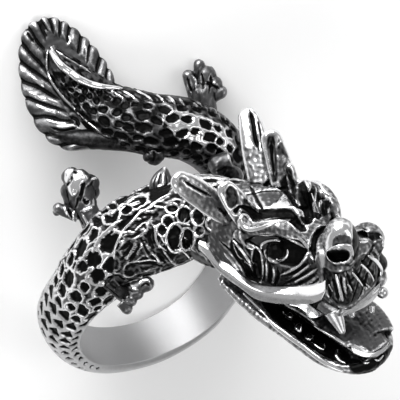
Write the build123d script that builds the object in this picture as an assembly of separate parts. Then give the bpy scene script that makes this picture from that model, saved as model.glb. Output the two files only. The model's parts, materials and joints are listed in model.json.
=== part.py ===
"""A cast dragon ring: one steel casting that wraps once round a finger.

The shank is the dragon's body. It is a plain band under the finger, thickens up both sides and
passes itself over the top: the neck and head lie towards the fingertip, the tail and its fan
towards the hand. Everything is modelled in the finger's frame first, where the bore runs along Y
(minus Y to the fingertip), X crosses the finger and Z points out of its back. The finished
casting is then laid on its side, as the ring lies on a table by itself. All sizes are millimetres.
"""
import os
from math import copysign, cos, pi, radians, sin

from build123d import *
from build123d.topology import SkipClean

# Finger bore and the dragon's body
BORE_DIAMETER = 19.4
BODY_WIDTH = 8.8            # neck, along the finger
BODY_HEIGHT = 7.0           # neck, away from the finger
TAIL_SHIFT = 10.8           # tail's offset along the finger where it crosses the top

# Head: where the neck ends, how it points, and its size
HEAD_TURN = 75.2            # round the bore, from its right side over the top
HEAD_SHIFT = -1.8           # towards the fingertip
HEAD_STAND = 4.8            # axis of the head above the bore
HEAD_YAW = 55.4             # from across the finger towards the fingertip
HEAD_PITCH = 14.6           # nose up
HEAD_ROLL = 20.9            # towards the side that the head hangs over
HEAD_LENGTH = 20.0
HEAD_WIDTH = 9.0
HEAD_HEIGHT = 8.8
NOSE_RADIUS = 1.9
NOSTRIL_RADIUS = 0.8
EYE_RADIUS = 1.3
BROW_THICKNESS = 1.6
HORN_WIDTH = 2.3
EAR_WIDTH = 2.1
HORN_THICKNESS = 1.4
WHISKER_WIDTH = 1.5
WHISKER_THICKNESS = 1.6     # about two thirds of it is sunk in the cheek
LIP_THICKNESS = 1.0

# Lower jaw
JAW_DEPTH = 2.6
JAW_WIDTH = 8.4
JAW_RIM_HEIGHT = 1.9
JAW_RIM_THICKNESS = 0.95
TOOTH_RADIUS = 0.55
TOOTH_HEIGHT = 2.0
FANG_RADIUS = 0.8
TONGUE_WIDTH = 4.0
TONGUE_THICKNESS = 1.7

# Tail fan
FAN_LENGTH = 13.4
FAN_WIDTH = 9.3
FAN_THICKNESS = 1.2

# Legs
LEG_RADIUS = 1.25
TOE_RADIUS = 0.75

# How the finished ring lies on a table: turned about X, then about Y, then about Z
LIE_ABOUT_X = -51.48
LIE_ABOUT_Y = 9.74
LIE_ABOUT_Z = 180.0

BORE_RADIUS = BORE_DIAMETER / 2
QUARTER_POINTS = 4          # spans in a quarter of each oval section

# Body sections from the tail's tip, down the right side, under the finger, up the left side and
# over the top to the head. turn: degrees round the bore from its right side, over the top.
# along: share of TAIL_SHIFT. lift: share of BODY_HEIGHT from the bore's wall to the section's
# middle. wide: share of BODY_WIDTH. high: share of BODY_HEIGHT.
BODY_SECTIONS = [
    # turn, along, lift, wide, high
    (97.2, 1.926, 0.90, 0.08, 0.12),
    (96.4, 1.73, 0.745, 0.33, 0.26),
    (92.7, 1.515, 0.555, 0.46, 0.42),
    (85.3, 1.215, 0.42, 0.70, 0.62),
    (71.4, 0.985, 0.44, 0.75, 0.76),
    (55.0, 0.86, 0.47, 0.74, 0.84),
    (38.0, 0.73, 0.39, 0.74, 0.80),
    (18.0, 0.56, 0.25, 0.72, 0.68),
    (-4.0, 0.38, 0.14, 0.67, 0.56),
    (-32.0, 0.16, 0.05, 0.61, 0.46),
    (-62.0, 0.04, 0.01, 0.56, 0.42),
    (-92.0, 0.00, 0.01, 0.55, 0.42),
    (-122.0, 0.00, 0.02, 0.58, 0.46),
    (-150.0, 0.01, 0.05, 0.64, 0.56),
    (-180.0, 0.03, 0.09, 0.72, 0.64),
    (-208.0, -0.02, 0.11, 0.74, 0.63),
    (-234.0, -0.05, 0.25, 0.86, 0.80),
    (-255.0, -0.06, 0.42, 0.97, 0.96),
    (-272.0, -0.10, 0.52, 1.00, 1.00),
    (-284.8, -0.167, 0.68, 0.97, 1.02),
]

# Upper head, back to front, in the head's own frame.
# fore: share of HEAD_LENGTH. up: share of HEAD_HEIGHT. wide: of HEAD_WIDTH. high: of HEAD_HEIGHT.
# square: 0 for an oval section, 1 for nearly a rectangle.
HEAD_SECTIONS = [
    # fore, up, wide, high, square
    (0.12, 0.00, 1.00, 0.94, 0.20),
    (0.26, 0.02, 1.00, 0.98, 0.40),
    (0.42, 0.05, 0.97, 1.00, 0.50),
    (0.57, 0.03, 0.87, 0.92, 0.60),
    (0.70, -0.02, 0.76, 0.78, 0.70),
    (0.83, -0.01, 0.78, 0.80, 0.75),
    (0.925, -0.02, 0.76, 0.78, 0.75),
]

# Lower jaw, back to front. down: share of HEAD_HEIGHT below the head's axis to the jaw's middle.
# wide: share of JAW_WIDTH. high: share of JAW_DEPTH.
JAW_SECTIONS = [
    # fore, down, wide, high
    (0.24, 0.40, 0.98, 0.80),
    (0.45, 0.68, 1.00, 0.66),
    (0.64, 0.85, 0.98, 0.64),
    (0.83, 1.00, 0.92, 0.66),
    (0.97, 1.08, 0.74, 0.64),
    (1.045, 1.07, 0.42, 0.56),
]

# Swept ridges and blades of the head, one side; the other side is the mirror.
# Each point: fore (share of HEAD_LENGTH), side (share of half of HEAD_WIDTH), up (share of
# HEAD_HEIGHT), then the section's share of the ridge's own width and thickness.
BROW_LINE = [
    (0.715, 0.60, 0.36, 0.45, 0.50),
    (0.66, 0.74, 0.50, 0.85, 0.90),
    (0.58, 0.80, 0.56, 1.00, 1.00),
    (0.46, 0.84, 0.43, 1.05, 1.05),
    (0.385, 0.88, 0.50, 0.80, 0.80),
    (0.35, 0.94, 0.60, 0.40, 0.45),
]
BROW_END_LINE = [
    (0.46, 0.86, 0.40, 0.90, 0.90),
    (0.38, 0.98, 0.27, 0.80, 0.80),
    (0.40, 1.00, 0.10, 0.50, 0.50),
]
HORN_LINE = [
    (0.30, 0.50, 0.36, 1.05, 1.30),
    (0.20, 0.98, 0.66, 1.05, 1.05),
    (0.13, 1.30, 0.90, 0.90, 0.90),
    (0.095, 1.46, 1.04, 0.40, 0.60),
]
HORN_FACE_LEFT = (0.77, 0.61, 0.09)     # direction of the left horn's and ear's width
HORN_FACE_RIGHT = (0.20, 0.60, 0.57)
EAR_LINE = [
    (0.42, 0.60, 0.40, 1.05, 1.30),
    (0.36, 0.84, 0.70, 1.05, 1.05),
    (0.32, 0.95, 0.92, 0.90, 0.90),
    (0.30, 1.00, 1.04, 0.40, 0.60),
]
WHISKER_LINE = [
    (-0.08, 0.80, 0.05, 0.55, 0.70),
    (0.05, 1.00, 0.01, 0.90, 0.90),
    (0.18, 1.05, -0.04, 1.00, 1.00),
    (0.34, 1.05, -0.17, 1.05, 1.00),
    (0.50, 0.98, -0.27, 1.05, 1.00),
    (0.66, 0.86, -0.24, 1.05, 1.00),
    (0.80, 0.80, -0.14, 1.10, 1.05),
    (0.89, 0.78, 0.00, 1.00, 1.00),
]
LIP_LINE = [
    (0.50, 0.80, -0.43, 0.80, 0.80),
    (0.68, 0.80, -0.40, 0.95, 0.90),
    (0.84, 0.78, -0.37, 1.05, 1.00),
    (0.925, 0.60, -0.36, 1.10, 1.00),
    (0.945, 0.26, -0.36, 1.10, 1.00),
    (0.945, -0.05, -0.36, 1.10, 1.00),
]
JAW_RIM_LINE = [
    (0.29, 0.90, -0.44, 0.70, 0.90),
    (0.45, 0.93, -0.61, 1.00, 1.00),
    (0.64, 0.91, -0.775, 1.05, 1.00),
    (0.83, 0.85, -0.92, 1.10, 1.00),
    (0.97, 0.66, -1.00, 1.15, 1.05),
    (1.04, 0.32, -1.00, 1.15, 1.10),
    (1.055, -0.06, -1.00, 1.15, 1.10),
]
TONGUE_LINE = [
    (0.36, 0.0, -0.46, 0.90, 1.00),
    (0.55, 0.0, -0.60, 1.00, 1.15),
    (0.75, 0.0, -0.76, 1.00, 1.15),
    (0.92, 0.0, -0.90, 0.85, 1.00),
    (1.00, 0.0, -0.95, 0.45, 0.70),
]

# Lower teeth on the jaw's rim, one side: fore, side, down as above
LOWER_TEETH = [
    (0.64, 0.72, 0.80),
    (0.73, 0.70, 0.87),
    (0.82, 0.68, 0.94),
    (0.90, 0.60, 0.99),
    (0.97, 0.48, 1.02),
]

# Mane spikes behind the far brow: base point and tip in the head's frame, then base radius
MANE_SPIKES = [
    # fore, side, up, fore, side, up, radius
    (0.52, 0.40, 0.36, 0.445, 0.56, 0.88, 0.95),
    (0.66, 0.36, 0.30, 0.655, 0.50, 0.56, 0.60),
    (0.16, 0.10, 0.40, 0.05, 0.10, 0.74, 0.90),
    (0.02, 0.60, 0.28, -0.10, 0.90, 0.52, 0.85),
]

# Feet, one row each in the finger's frame: where the leg leaves the body, the middle of the foot,
# and the direction in which its toes are set side by side
FEET = [
    # root x, y, z, foot x, y, z, spread x, y, z
    (-6.6, -3.0, 11.0, -5.3, -6.1, 11.5, 0.80, 0.36, 0.10),
    (-6.2, 3.0, 11.4, -5.4, 6.5, 11.7, 0.95, -0.10, 0.20),
    (10.2, 10.4, 8.4, 11.5, 14.0, 9.4, -0.95, 0.20, 0.25),
    (10.0, 4.5, 8.6, 9.4, 3.2, 10.4, -0.80, 0.30, 0.50),
]
TOES_PER_FOOT = 4

# Tail fan, from its root to its tip, along a line in the finger's frame.
# along: share of FAN_LENGTH. left: middle's offset as a share of FAN_WIDTH. up: offset as a share
# of FAN_LENGTH. wide: share of FAN_WIDTH. thick: share of FAN_THICKNESS.
FAN_SECTIONS = [
    # along, left, up, wide, thick
    (0.00, 0.00, 0.00, 0.50, 1.40),
    (0.09, 0.07, -0.005, 0.72, 1.30),
    (0.19, 0.14, 0.00, 0.86, 1.20),
    (0.34, 0.18, 0.03, 0.95, 1.10),
    (0.52, 0.18, 0.10, 0.96, 1.00),
    (0.71, 0.18, 0.18, 0.84, 1.00),
    (0.86, 0.18, 0.25, 0.63, 0.95),
    (0.95, 0.18, 0.295, 0.42, 0.90),
    (1.00, 0.18, 0.315, 0.20, 0.75),
]
FAN_ROOT = (-0.1, 10.5, 12.1)   # x, y, z
FAN_HEADING = 90.0              # degrees from X towards Y
FAN_BANK = 6.0                  # right edge up


def bore_point(turn, radius, along):
    """A point at an angle round the bore, a radius from its axis and a place along it."""
    return Vector(radius * cos(radians(turn)), along, radius * sin(radians(turn)))


def section_wire(plane, half_width, half_height, squareness):
    """A closed oval on a plane, in four quarter curves that meet without a corner.

    squareness 0 is an ellipse and 1 nearly a rectangle.
    """
    power = 1 - 0.6 * squareness
    steps = [step / QUARTER_POINTS for step in range(QUARTER_POINTS + 1)]
    quarters = []
    for quarter in range(4):
        points = []
        for step in steps:
            turn = pi / 2 * (quarter + step)
            x = half_width * copysign(abs(cos(turn)) ** power, cos(turn))
            y = half_height * copysign(abs(sin(turn)) ** power, sin(turn))
            points.append(plane.from_local_coords(Vector(x, y, 0)))
        tangents = []
        for turn in (pi / 2 * quarter, pi / 2 * (quarter + 1)):
            tangents.append(plane.x_dir * -sin(turn) + plane.y_dir * cos(turn))
        quarters.append(Edge.make_spline(points, tangents=tangents, parameters=steps))
    return Wire(quarters)


def loft_along(centres, sideways, half_widths, half_heights, squareness=None):
    """A smooth solid through oval sections square to the line through their centres."""
    wires = []
    last = len(centres) - 1
    for i, centre in enumerate(centres):
        forward = (centres[min(i + 1, last)] - centres[max(i - 1, 0)]).normalized()
        across = sideways[i] - forward * sideways[i].dot(forward)
        plane = Plane(origin=centre, x_dir=across, z_dir=forward)
        square = squareness[i] if squareness else 0
        wires.append(section_wire(plane, half_widths[i], half_heights[i], square))
    return Solid.make_loft(wires)


def body():
    """Body and upper head in one sweep, from the tail's tip to the nose, before the bore."""
    centres = []
    sideways = []
    half_widths = [row[3] * BODY_WIDTH / 2 for row in BODY_SECTIONS]
    half_heights = [row[4] * BODY_HEIGHT / 2 for row in BODY_SECTIONS]
    for turn, along, lift, _, _ in BODY_SECTIONS:
        centres.append(bore_point(turn, BORE_RADIUS + lift * BODY_HEIGHT, along * TAIL_SHIFT))
    plane = head_plane()
    squareness = [0] * len(BODY_SECTIONS)
    for fore, up, wide, high, square in HEAD_SECTIONS:
        centres.append(plane.from_local_coords(head_point(fore, 0, up)))
        half_widths.append(wide * HEAD_WIDTH / 2)
        half_heights.append(high * HEAD_HEIGHT / 2)
        squareness.append(square)
    for i, row in enumerate(BODY_SECTIONS):
        forward = centres[i + 1] - centres[max(i - 1, 0)]
        sideways.append(forward.cross(bore_point(row[0], 1, 0)))
    sideways += [plane.y_dir * -1] * len(HEAD_SECTIONS)
    return loft_along(centres, sideways, half_widths, half_heights, squareness)


def head_point(fore, side, up):
    """A point of the head's own frame from shares of its length, half width and height."""
    return Vector(fore * HEAD_LENGTH, side * HEAD_WIDTH / 2, up * HEAD_HEIGHT)


def head_plane():
    """The head's own frame: X to the nose, Y to the dragon's left, Z up."""
    yaw = radians(HEAD_YAW)
    pitch = radians(HEAD_PITCH)
    roll = radians(HEAD_ROLL)
    forward = Vector(cos(yaw) * cos(pitch), -sin(yaw) * cos(pitch), sin(pitch))
    level_left = Vector(sin(yaw), cos(yaw), 0)
    level_up = forward.cross(level_left)
    up = level_up * cos(roll) + level_left * sin(roll)
    origin = bore_point(HEAD_TURN, BORE_RADIUS + HEAD_STAND, HEAD_SHIFT)
    return Plane(origin=origin, x_dir=forward, z_dir=up)


def ridge(line, width, thickness, hand, flat_to):
    """A swept ridge of the head; hand is 1 for its left side and -1 for its right side."""
    centres = [head_point(fore, side * hand, up) for fore, side, up, _, _ in line]
    sideways = [flat_to] * len(line)
    half_widths = [row[3] * width / 2 for row in line]
    half_heights = [row[4] * thickness / 2 for row in line]
    return loft_along(centres, sideways, half_widths, half_heights)


def bullet(start, end, start_radius, end_radius):
    """A tapered round bar with a domed end."""
    line = end - start
    shoulder = line.length - end_radius
    profile = Polyline((0, 0), (start_radius, 0), (end_radius, shoulder))
    dome = RadiusArc((end_radius, shoulder), (0, line.length), -end_radius)
    outline = make_face([profile.edges(), dome.edges(), Line((0, line.length), (0, 0)).edges()])
    solid = revolve(Plane.XZ * outline, Axis.Z)
    return Plane(origin=start, z_dir=line).location * solid


def ball(centre, radius):
    return Pos(centre.X, centre.Y, centre.Z) * Solid.make_sphere(radius, angle1=-90)


def head_side(hand):
    """Everything of the upper head that comes once on each side."""
    up = Vector(0, 0, 1)
    face = Vector(*(HORN_FACE_LEFT if hand > 0 else HORN_FACE_RIGHT))
    pieces = [
        ridge(BROW_LINE, BROW_THICKNESS, BROW_THICKNESS, hand, Vector(0, 1, 0)),
        ridge(BROW_END_LINE, BROW_THICKNESS, BROW_THICKNESS, hand, Vector(0, 1, 0)),
        ridge(HORN_LINE, HORN_WIDTH, HORN_THICKNESS, hand, face),
        ridge(EAR_LINE, EAR_WIDTH, HORN_THICKNESS, hand, face),
        ridge(WHISKER_LINE, WHISKER_WIDTH, WHISKER_THICKNESS, hand, up),
        ridge(LIP_LINE, WHISKER_WIDTH, LIP_THICKNESS, hand, up),
        ball(head_point(0.575, 0.80 * hand, 0.22), EYE_RADIUS),
        ball(head_point(0.90, 0.47 * hand, 0.40 - 0.07 * hand), NOSE_RADIUS),
        bullet(head_point(0.90, 0.62 * hand, -0.34), head_point(0.91, 0.58 * hand, -0.70),
               FANG_RADIUS, 0.4 * FANG_RADIUS),
        bullet(head_point(0.72, 0.74 * hand, -0.38), head_point(0.74, 0.72 * hand, -0.58),
               FANG_RADIUS, 0.5 * FANG_RADIUS),
    ]
    return pieces


def head_details():
    """Everything that stands on the upper head."""
    pieces = []
    for hand in (1, -1):
        pieces += head_side(hand)
    for row in MANE_SPIKES:
        base = head_point(*row[0:3])
        pieces.append(bullet(base, head_point(*row[3:6]), row[6], 0.45 * row[6]))
    return pieces


def nostrils():
    """Two blind holes in the front of the nose."""
    holes = []
    for hand in (1, -1):
        start = head_point(0.93, 0.50 * hand, 0.30 - 0.06 * hand)
        hole = Solid.make_cylinder(NOSTRIL_RADIUS, 2 * NOSE_RADIUS)
        holes.append(Plane(origin=start, z_dir=(1, 0, -0.3)).location * hole)
    return holes


def lower_jaw():
    """The jaw's floor, the raised rim round it, the tongue and the teeth."""
    up = Vector(0, 0, 1)
    left = Vector(0, 1, 0)
    centres = [head_point(fore, 0, -down) for fore, down, _, _ in JAW_SECTIONS]
    half_widths = [row[2] * JAW_WIDTH / 2 for row in JAW_SECTIONS]
    half_heights = [row[3] * JAW_DEPTH / 2 for row in JAW_SECTIONS]
    pieces = [loft_along(centres, [left] * len(centres), half_widths, half_heights)]
    pieces.append(ridge(TONGUE_LINE, TONGUE_WIDTH, TONGUE_THICKNESS, 1, left))
    for hand in (1, -1):
        pieces.append(ridge(JAW_RIM_LINE, JAW_RIM_HEIGHT, JAW_RIM_THICKNESS, hand, up))
        for fore, side, down in LOWER_TEETH:
            base = head_point(fore, side * hand, -down)
            pieces.append(bullet(base, base + up * TOOTH_HEIGHT, TOOTH_RADIUS, 0.6 * TOOTH_RADIUS))
    return pieces


def legs():
    """Four short legs, each ending in a foot of blunt toes side by side."""
    pieces = []
    for row in FEET:
        root = Vector(*row[0:3])
        foot = Vector(*row[3:6])
        spread = Vector(*row[6:9]).normalized()
        reach = (foot - root).normalized()
        pieces.append(bullet(root, foot + reach * LEG_RADIUS, LEG_RADIUS, 0.9 * LEG_RADIUS))
        for toe in range(TOES_PER_FOOT):
            step = toe - (TOES_PER_FOOT - 1) / 2
            start = foot + spread * (0.5 * step * TOE_RADIUS)
            end = foot + spread * (1.45 * step * TOE_RADIUS) + reach * (2.4 * TOE_RADIUS)
            pieces.append(bullet(start, end, TOE_RADIUS, 0.8 * TOE_RADIUS))
    return pieces


def fan_frame():
    """The tail fan's forward, left and up directions."""
    heading = radians(FAN_HEADING)
    bank = radians(FAN_BANK)
    forward = Vector(cos(heading), sin(heading), 0)
    level_left = Vector(-sin(heading), cos(heading), 0)
    left = level_left * cos(bank) - Vector(0, 0, 1) * sin(bank)
    return forward, left, forward.cross(left)


def fan_point(along, left_share, up_share):
    forward, left, up = fan_frame()
    reach = forward * (along * FAN_LENGTH)
    return Vector(*FAN_ROOT) + reach + left * (left_share * FAN_WIDTH) + up * (up_share * FAN_LENGTH)


def tail_fan():
    """A spoon-shaped fan round the tail's tip with raised ribs on its back."""
    _, left, _ = fan_frame()
    centres = [fan_point(along, side, rise) for along, side, rise, _, _ in FAN_SECTIONS]
    half_widths = [row[3] * FAN_WIDTH / 2 for row in FAN_SECTIONS]
    half_heights = [row[4] * FAN_THICKNESS / 2 for row in FAN_SECTIONS]
    pieces = [loft_along(centres, [left] * len(centres), half_widths, half_heights)]
    return pieces


def bore():
    """The finger's hole in quarter turns, because its wall winds along the finger as it goes round."""
    length = 8 * BODY_WIDTH
    start = Plane(origin=(0, -length / 2, 0), z_dir=(0, 1, 0))
    quarters = []
    for turn in range(0, 360, 90):
        quarter = Solid.make_cylinder(BORE_RADIUS, length, start, 90)
        quarters.append(Rot(0, turn, 0) * quarter)
    return quarters


def casting():
    """The whole ring as one solid, still in the finger's frame."""
    plane = head_plane()
    in_head = head_details() + lower_jaw()
    pieces = [body()] + legs() + tail_fan()
    for piece in in_head:
        pieces.append(plane.location * piece)
    whole = pieces[0].fuse(*pieces[1:])
    for hole in nostrils():
        whole = whole - plane.location * hole
    # Uncleaned, so that each quarter turn of the wall stays a face that spans its own stretch
    with SkipClean():
        return whole - bore()


def lie_down(shape):
    """Turn from the finger's frame to the ring lying on a table, centred, on Z = 0."""
    laid = Rot(0, LIE_ABOUT_Y, 0) * (Rot(LIE_ABOUT_X, 0, 0) * shape)
    laid = Rot(0, 0, LIE_ABOUT_Z) * laid
    box = laid.bounding_box()
    middle = box.center()
    return Pos(-middle.X, -middle.Y, -box.min.Z) * laid


if __name__ == "__main__":
    os.makedirs("parts", exist_ok=True)
    ring = lie_down(casting())
    export_step(ring, "parts/dragon_ring.step")
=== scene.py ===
"""Looks of a cast steel dragon ring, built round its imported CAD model.

The ring is one antiqued casting: polished high spots over blackened recesses. Its forms are made
in the finger's frame in millimetres (the bore along Y, the back of the finger up Z), where the
head and the tail are easy to place, and each finished piece is then laid into the CAD frame.
"""
import json
import math

import bpy
import numpy as np
from bpy.props import FloatProperty, FloatVectorProperty, IntProperty, PointerProperty
from mathutils import Matrix, Vector
from mathutils.bvhtree import BVHTree


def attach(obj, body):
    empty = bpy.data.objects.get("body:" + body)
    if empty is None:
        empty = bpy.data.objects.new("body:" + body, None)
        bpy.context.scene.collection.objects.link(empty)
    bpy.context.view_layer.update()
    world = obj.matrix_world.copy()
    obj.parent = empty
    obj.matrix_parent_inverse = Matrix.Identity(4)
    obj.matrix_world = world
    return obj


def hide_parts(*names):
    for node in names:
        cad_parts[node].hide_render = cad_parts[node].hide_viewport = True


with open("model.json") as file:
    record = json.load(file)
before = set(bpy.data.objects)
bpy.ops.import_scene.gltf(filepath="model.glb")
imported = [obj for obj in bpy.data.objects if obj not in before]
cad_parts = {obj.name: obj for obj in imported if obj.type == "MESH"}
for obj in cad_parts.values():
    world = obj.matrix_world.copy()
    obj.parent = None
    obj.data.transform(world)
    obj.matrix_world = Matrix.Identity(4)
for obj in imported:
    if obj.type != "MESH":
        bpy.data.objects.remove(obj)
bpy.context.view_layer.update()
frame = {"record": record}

bl_info = {
    "name": "Cast dragon ring",
    "version": (1, 0, 0),
    "blender": (4, 5, 0),
    "location": "View3D > Sidebar > Dragon Ring",
    "description": "Builds the antiqued steel casting of a dragon ring round its CAD model",
    "category": "Object",
}

NODE = "dragon_ring"
BORE_MOUNT = frame["record"]["mounts"][0]

# Bore, body and head, in millimetres and degrees, as in the part's source
BORE_RADIUS = BORE_MOUNT["dims"]["r_mm"]
BODY_WIDTH = 8.8
BODY_HEIGHT = 7.0
TAIL_SHIFT = 10.8
HEAD_TURN = 75.2
HEAD_SHIFT = -1.8
HEAD_STAND = 4.8
HEAD_YAW = 55.4
HEAD_PITCH = 14.6
HEAD_ROLL = 20.9
HEAD_LENGTH = 20.0
HEAD_WIDTH = 9.0
HEAD_HEIGHT = 8.8
FAN_LENGTH = 13.4
FAN_WIDTH = 9.3
LIE_ABOUT = (-51.48, 9.74, 180.0)  # turns about X, Y and Z that lay the ring on its side
BORE_MOUNT_SHIFT = 2.5      # the bore mount's place along the finger

# The body from the tail's tip to the neck, a little thicker under the finger than the CAD.
# turn: degrees round the bore. along: share of TAIL_SHIFT. lift: height above the bore's wall as a
# share of BODY_HEIGHT. wide, high: shares of BODY_WIDTH and BODY_HEIGHT.
BODY_SECTIONS = [
    # turn, along, lift, wide, high
    (97.2, 1.926, 0.90, 0.08, 0.12),
    (96.4, 1.73, 0.745, 0.33, 0.26),
    (92.7, 1.515, 0.555, 0.46, 0.42),
    (85.3, 1.215, 0.42, 0.70, 0.62),
    (71.4, 0.985, 0.44, 0.75, 0.76),
    (55.0, 0.86, 0.47, 0.74, 0.84),
    (38.0, 0.73, 0.39, 0.74, 0.80),
    (18.0, 0.56, 0.25, 0.72, 0.68),
    (-4.0, 0.38, 0.14, 0.67, 0.56),
    (-32.0, 0.16, 0.05, 0.61, 0.46),
    (-62.0, 0.04, 0.06, 0.56, 0.42),
    (-92.0, 0.00, 0.10, 0.55, 0.45),
    (-122.0, 0.00, 0.10, 0.58, 0.50),
    (-150.0, 0.01, 0.07, 0.64, 0.59),
    (-180.0, 0.03, 0.09, 0.72, 0.64),
    (-208.0, -0.02, 0.11, 0.74, 0.63),
    (-234.0, -0.05, 0.25, 0.86, 0.80),
    (-255.0, -0.06, 0.42, 0.97, 0.96),
    (-272.0, -0.10, 0.52, 1.00, 1.00),
    (-284.8, -0.167, 0.68, 0.97, 1.02),
]
# The upper head in its own frame. fore, up: shares of HEAD_LENGTH and HEAD_HEIGHT. wide, high:
# shares of HEAD_WIDTH and HEAD_HEIGHT. square: 0 is an ellipse and 1 nearly a rectangle.
HEAD_SECTIONS = [
    # fore, up, wide, high, square
    (0.12, 0.00, 1.00, 0.94, 0.20),
    (0.26, 0.02, 1.00, 0.98, 0.40),
    (0.42, 0.05, 0.97, 1.00, 0.50),
    (0.57, 0.03, 0.87, 0.92, 0.60),
    (0.70, -0.02, 0.76, 0.78, 0.70),
    (0.83, -0.01, 0.78, 0.80, 0.75),
    (0.925, -0.02, 0.76, 0.78, 0.75),
]
HEAD_ROW_TURN = 8.0         # degrees counted for each head section past the neck


def turned(axis, degrees):
    """The matrix that turns points about X, Y or Z."""
    c, s = math.cos(math.radians(degrees)), math.sin(math.radians(degrees))
    i, j = {"X": (1, 2), "Y": (2, 0), "Z": (0, 1)}[axis]
    matrix = np.eye(3)
    matrix[i, i] = matrix[j, j] = c
    matrix[i, j], matrix[j, i] = -s, s
    return matrix


LIE = turned("Z", LIE_ABOUT[2]) @ turned("Y", LIE_ABOUT[1]) @ turned("X", LIE_ABOUT[0])
BORE_POINT = np.array(BORE_MOUNT["pos_m"]) * 1000
BORE_MIDDLE = BORE_POINT - LIE @ np.array([0, BORE_MOUNT_SHIFT, 0])


def laid(points):
    """Points of the finger's frame, in millimetres, laid into the CAD frame, in metres."""
    return (np.asarray(points) @ LIE.T + BORE_MIDDLE) / 1000


# The photograph's view, seen from the finger's frame: right, up and back to the camera
VIEW_RIGHT = np.array([0.910, -0.415, 0.0])
VIEW_UP = np.array([0.357, 0.783, 0.509])
VIEW_BACK = np.array([-0.211, -0.463, 0.861])
VIEW_SCALE = 10.2           # places of the 400 x 400 photograph to a millimetre
VIEW_ORIGIN = (158.0, 286.2)
PHOTO_MIDDLE = 200.0
RAY_START = 60.0            # millimetres towards the camera, in front of the whole ring
FAR = 1e3                   # farther than anything on the ring, in millimetres or in scales


def seen_at(place):
    """The point of the finger's frame on the view plane that shows at a place of the photograph."""
    right = (place[0] - VIEW_ORIGIN[0]) / VIEW_SCALE
    up = (VIEW_ORIGIN[1] - place[1]) / VIEW_SCALE
    return VIEW_RIGHT * right + VIEW_UP * up


def unit(vectors):
    """Vectors made one long."""
    vectors = np.asarray(vectors, float)
    return vectors / np.maximum(np.linalg.norm(vectors, axis=-1, keepdims=True), 1e-12)


def head_axes():
    """The head's fore, left and up directions in the finger's frame."""
    yaw, pitch, roll = (math.radians(a) for a in (HEAD_YAW, HEAD_PITCH, HEAD_ROLL))
    fore = np.array([math.cos(yaw) * math.cos(pitch), -math.sin(yaw) * math.cos(pitch), math.sin(pitch)])
    level = np.array([math.sin(yaw), math.cos(yaw), 0.0])
    up = np.cross(fore, level) * math.cos(roll) + level * math.sin(roll)
    return np.array([fore, np.cross(up, fore), up])


HEAD_AXES = head_axes()
HEAD_ORIGIN = np.array([
    (BORE_RADIUS + HEAD_STAND) * math.cos(math.radians(HEAD_TURN)),
    HEAD_SHIFT,
    (BORE_RADIUS + HEAD_STAND) * math.sin(math.radians(HEAD_TURN)),
])
HEAD_SIZES = np.array([HEAD_LENGTH, HEAD_WIDTH / 2, HEAD_HEIGHT])


def in_head(fore, side, up):
    """A point of the finger's frame from shares of the head's length, half width and height."""
    return HEAD_ORIGIN + (np.array([fore, side, up]) * HEAD_SIZES) @ HEAD_AXES


def to_head(points):
    """Points of the finger's frame in the head's own frame, in millimetres."""
    return (points - HEAD_ORIGIN) @ HEAD_AXES.T


def from_head(points):
    """Points of the head's own frame, in millimetres, in the finger's frame."""
    return HEAD_ORIGIN + points @ HEAD_AXES


def bore_point(turn, radius, along):
    """A point at an angle round the bore, a radius from its axis and a place along it."""
    return np.array([radius * math.cos(math.radians(turn)), along, radius * math.sin(math.radians(turn))])


def smooth_rows(rows, count):
    """Rows of numbers resampled evenly along a smooth curve through them."""
    rows = np.asarray(rows, float)
    last = len(rows) - 1
    t = np.linspace(0, last, count)
    i = np.minimum(t.astype(int), last - 1)
    u = (t - i)[:, None]
    p0, p1, p2, p3 = rows[np.maximum(i - 1, 0)], rows[i], rows[i + 1], rows[np.minimum(i + 2, last)]
    cubic = 3 * p1 - p0 - 3 * p2 + p3
    square = 2 * p0 - 5 * p1 + 4 * p2 - p3
    return 0.5 * (2 * p1 + (p2 - p0) * u + square * u ** 2 + cubic * u ** 3)


def evenly(rows, steps):
    """The same curve at places whose spacing follows steps, a function of the rows."""
    fine = smooth_rows(rows, 40 * len(rows))
    length = np.linalg.norm(np.diff(fine[:, :3], axis=0), axis=1)
    share = np.concatenate([[0], np.cumsum(length / steps(fine[1:]))])
    count = int(math.ceil(share[-1])) + 1
    at = np.linspace(0, share[-1], count)
    return np.stack([np.interp(at, share, column) for column in fine.T], axis=1)


def smoothstep(low, high, value):
    """0 at low, 1 at high and a smooth change between them; low may be the greater one."""
    t = np.clip((np.asarray(value, float) - low) / (high - low), 0, 1)
    return t * t * (3 - 2 * t)


def tube(centres, across, half_wide, half_high, square=0.0, around=24):
    """Points and faces of a closed sweep with oval sections and a pole at each end."""
    centres = np.asarray(centres, float)
    count = len(centres)
    forward = unit(np.gradient(centres, axis=0))
    across = np.broadcast_to(np.asarray(across, float), centres.shape)
    x = unit(across - forward * (across * forward).sum(1, keepdims=True))
    y = np.cross(forward, x)
    angle = np.arange(around) * 2 * math.pi / around
    power = (1 - 0.6 * np.broadcast_to(square, count))[:, None]
    c, s = np.cos(angle)[None], np.sin(angle)[None]
    wide = np.sign(c) * np.abs(c) ** power * np.broadcast_to(half_wide, count)[:, None]
    high = np.sign(s) * np.abs(s) ** power * np.broadcast_to(half_high, count)[:, None]
    ring = centres[:, None] + x[:, None] * wide[..., None] + y[:, None] * high[..., None]
    points = np.concatenate([ring.reshape(-1, 3), centres[:1], centres[-1:]])
    i, j = np.meshgrid(np.arange(count - 1), np.arange(around), indexing="ij")
    after = (j + 1) % around
    quads = np.stack([i * around + j, i * around + after,
                      (i + 1) * around + after, (i + 1) * around + j], axis=-1).reshape(-1, 4)
    first, final = count * around, count * around + 1
    start = [(first, (k + 1) % around, k) for k in range(around)]
    base = (count - 1) * around
    end = [(final, base + k, base + (k + 1) % around) for k in range(around)]
    return points, quads.tolist() + start + end


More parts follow.
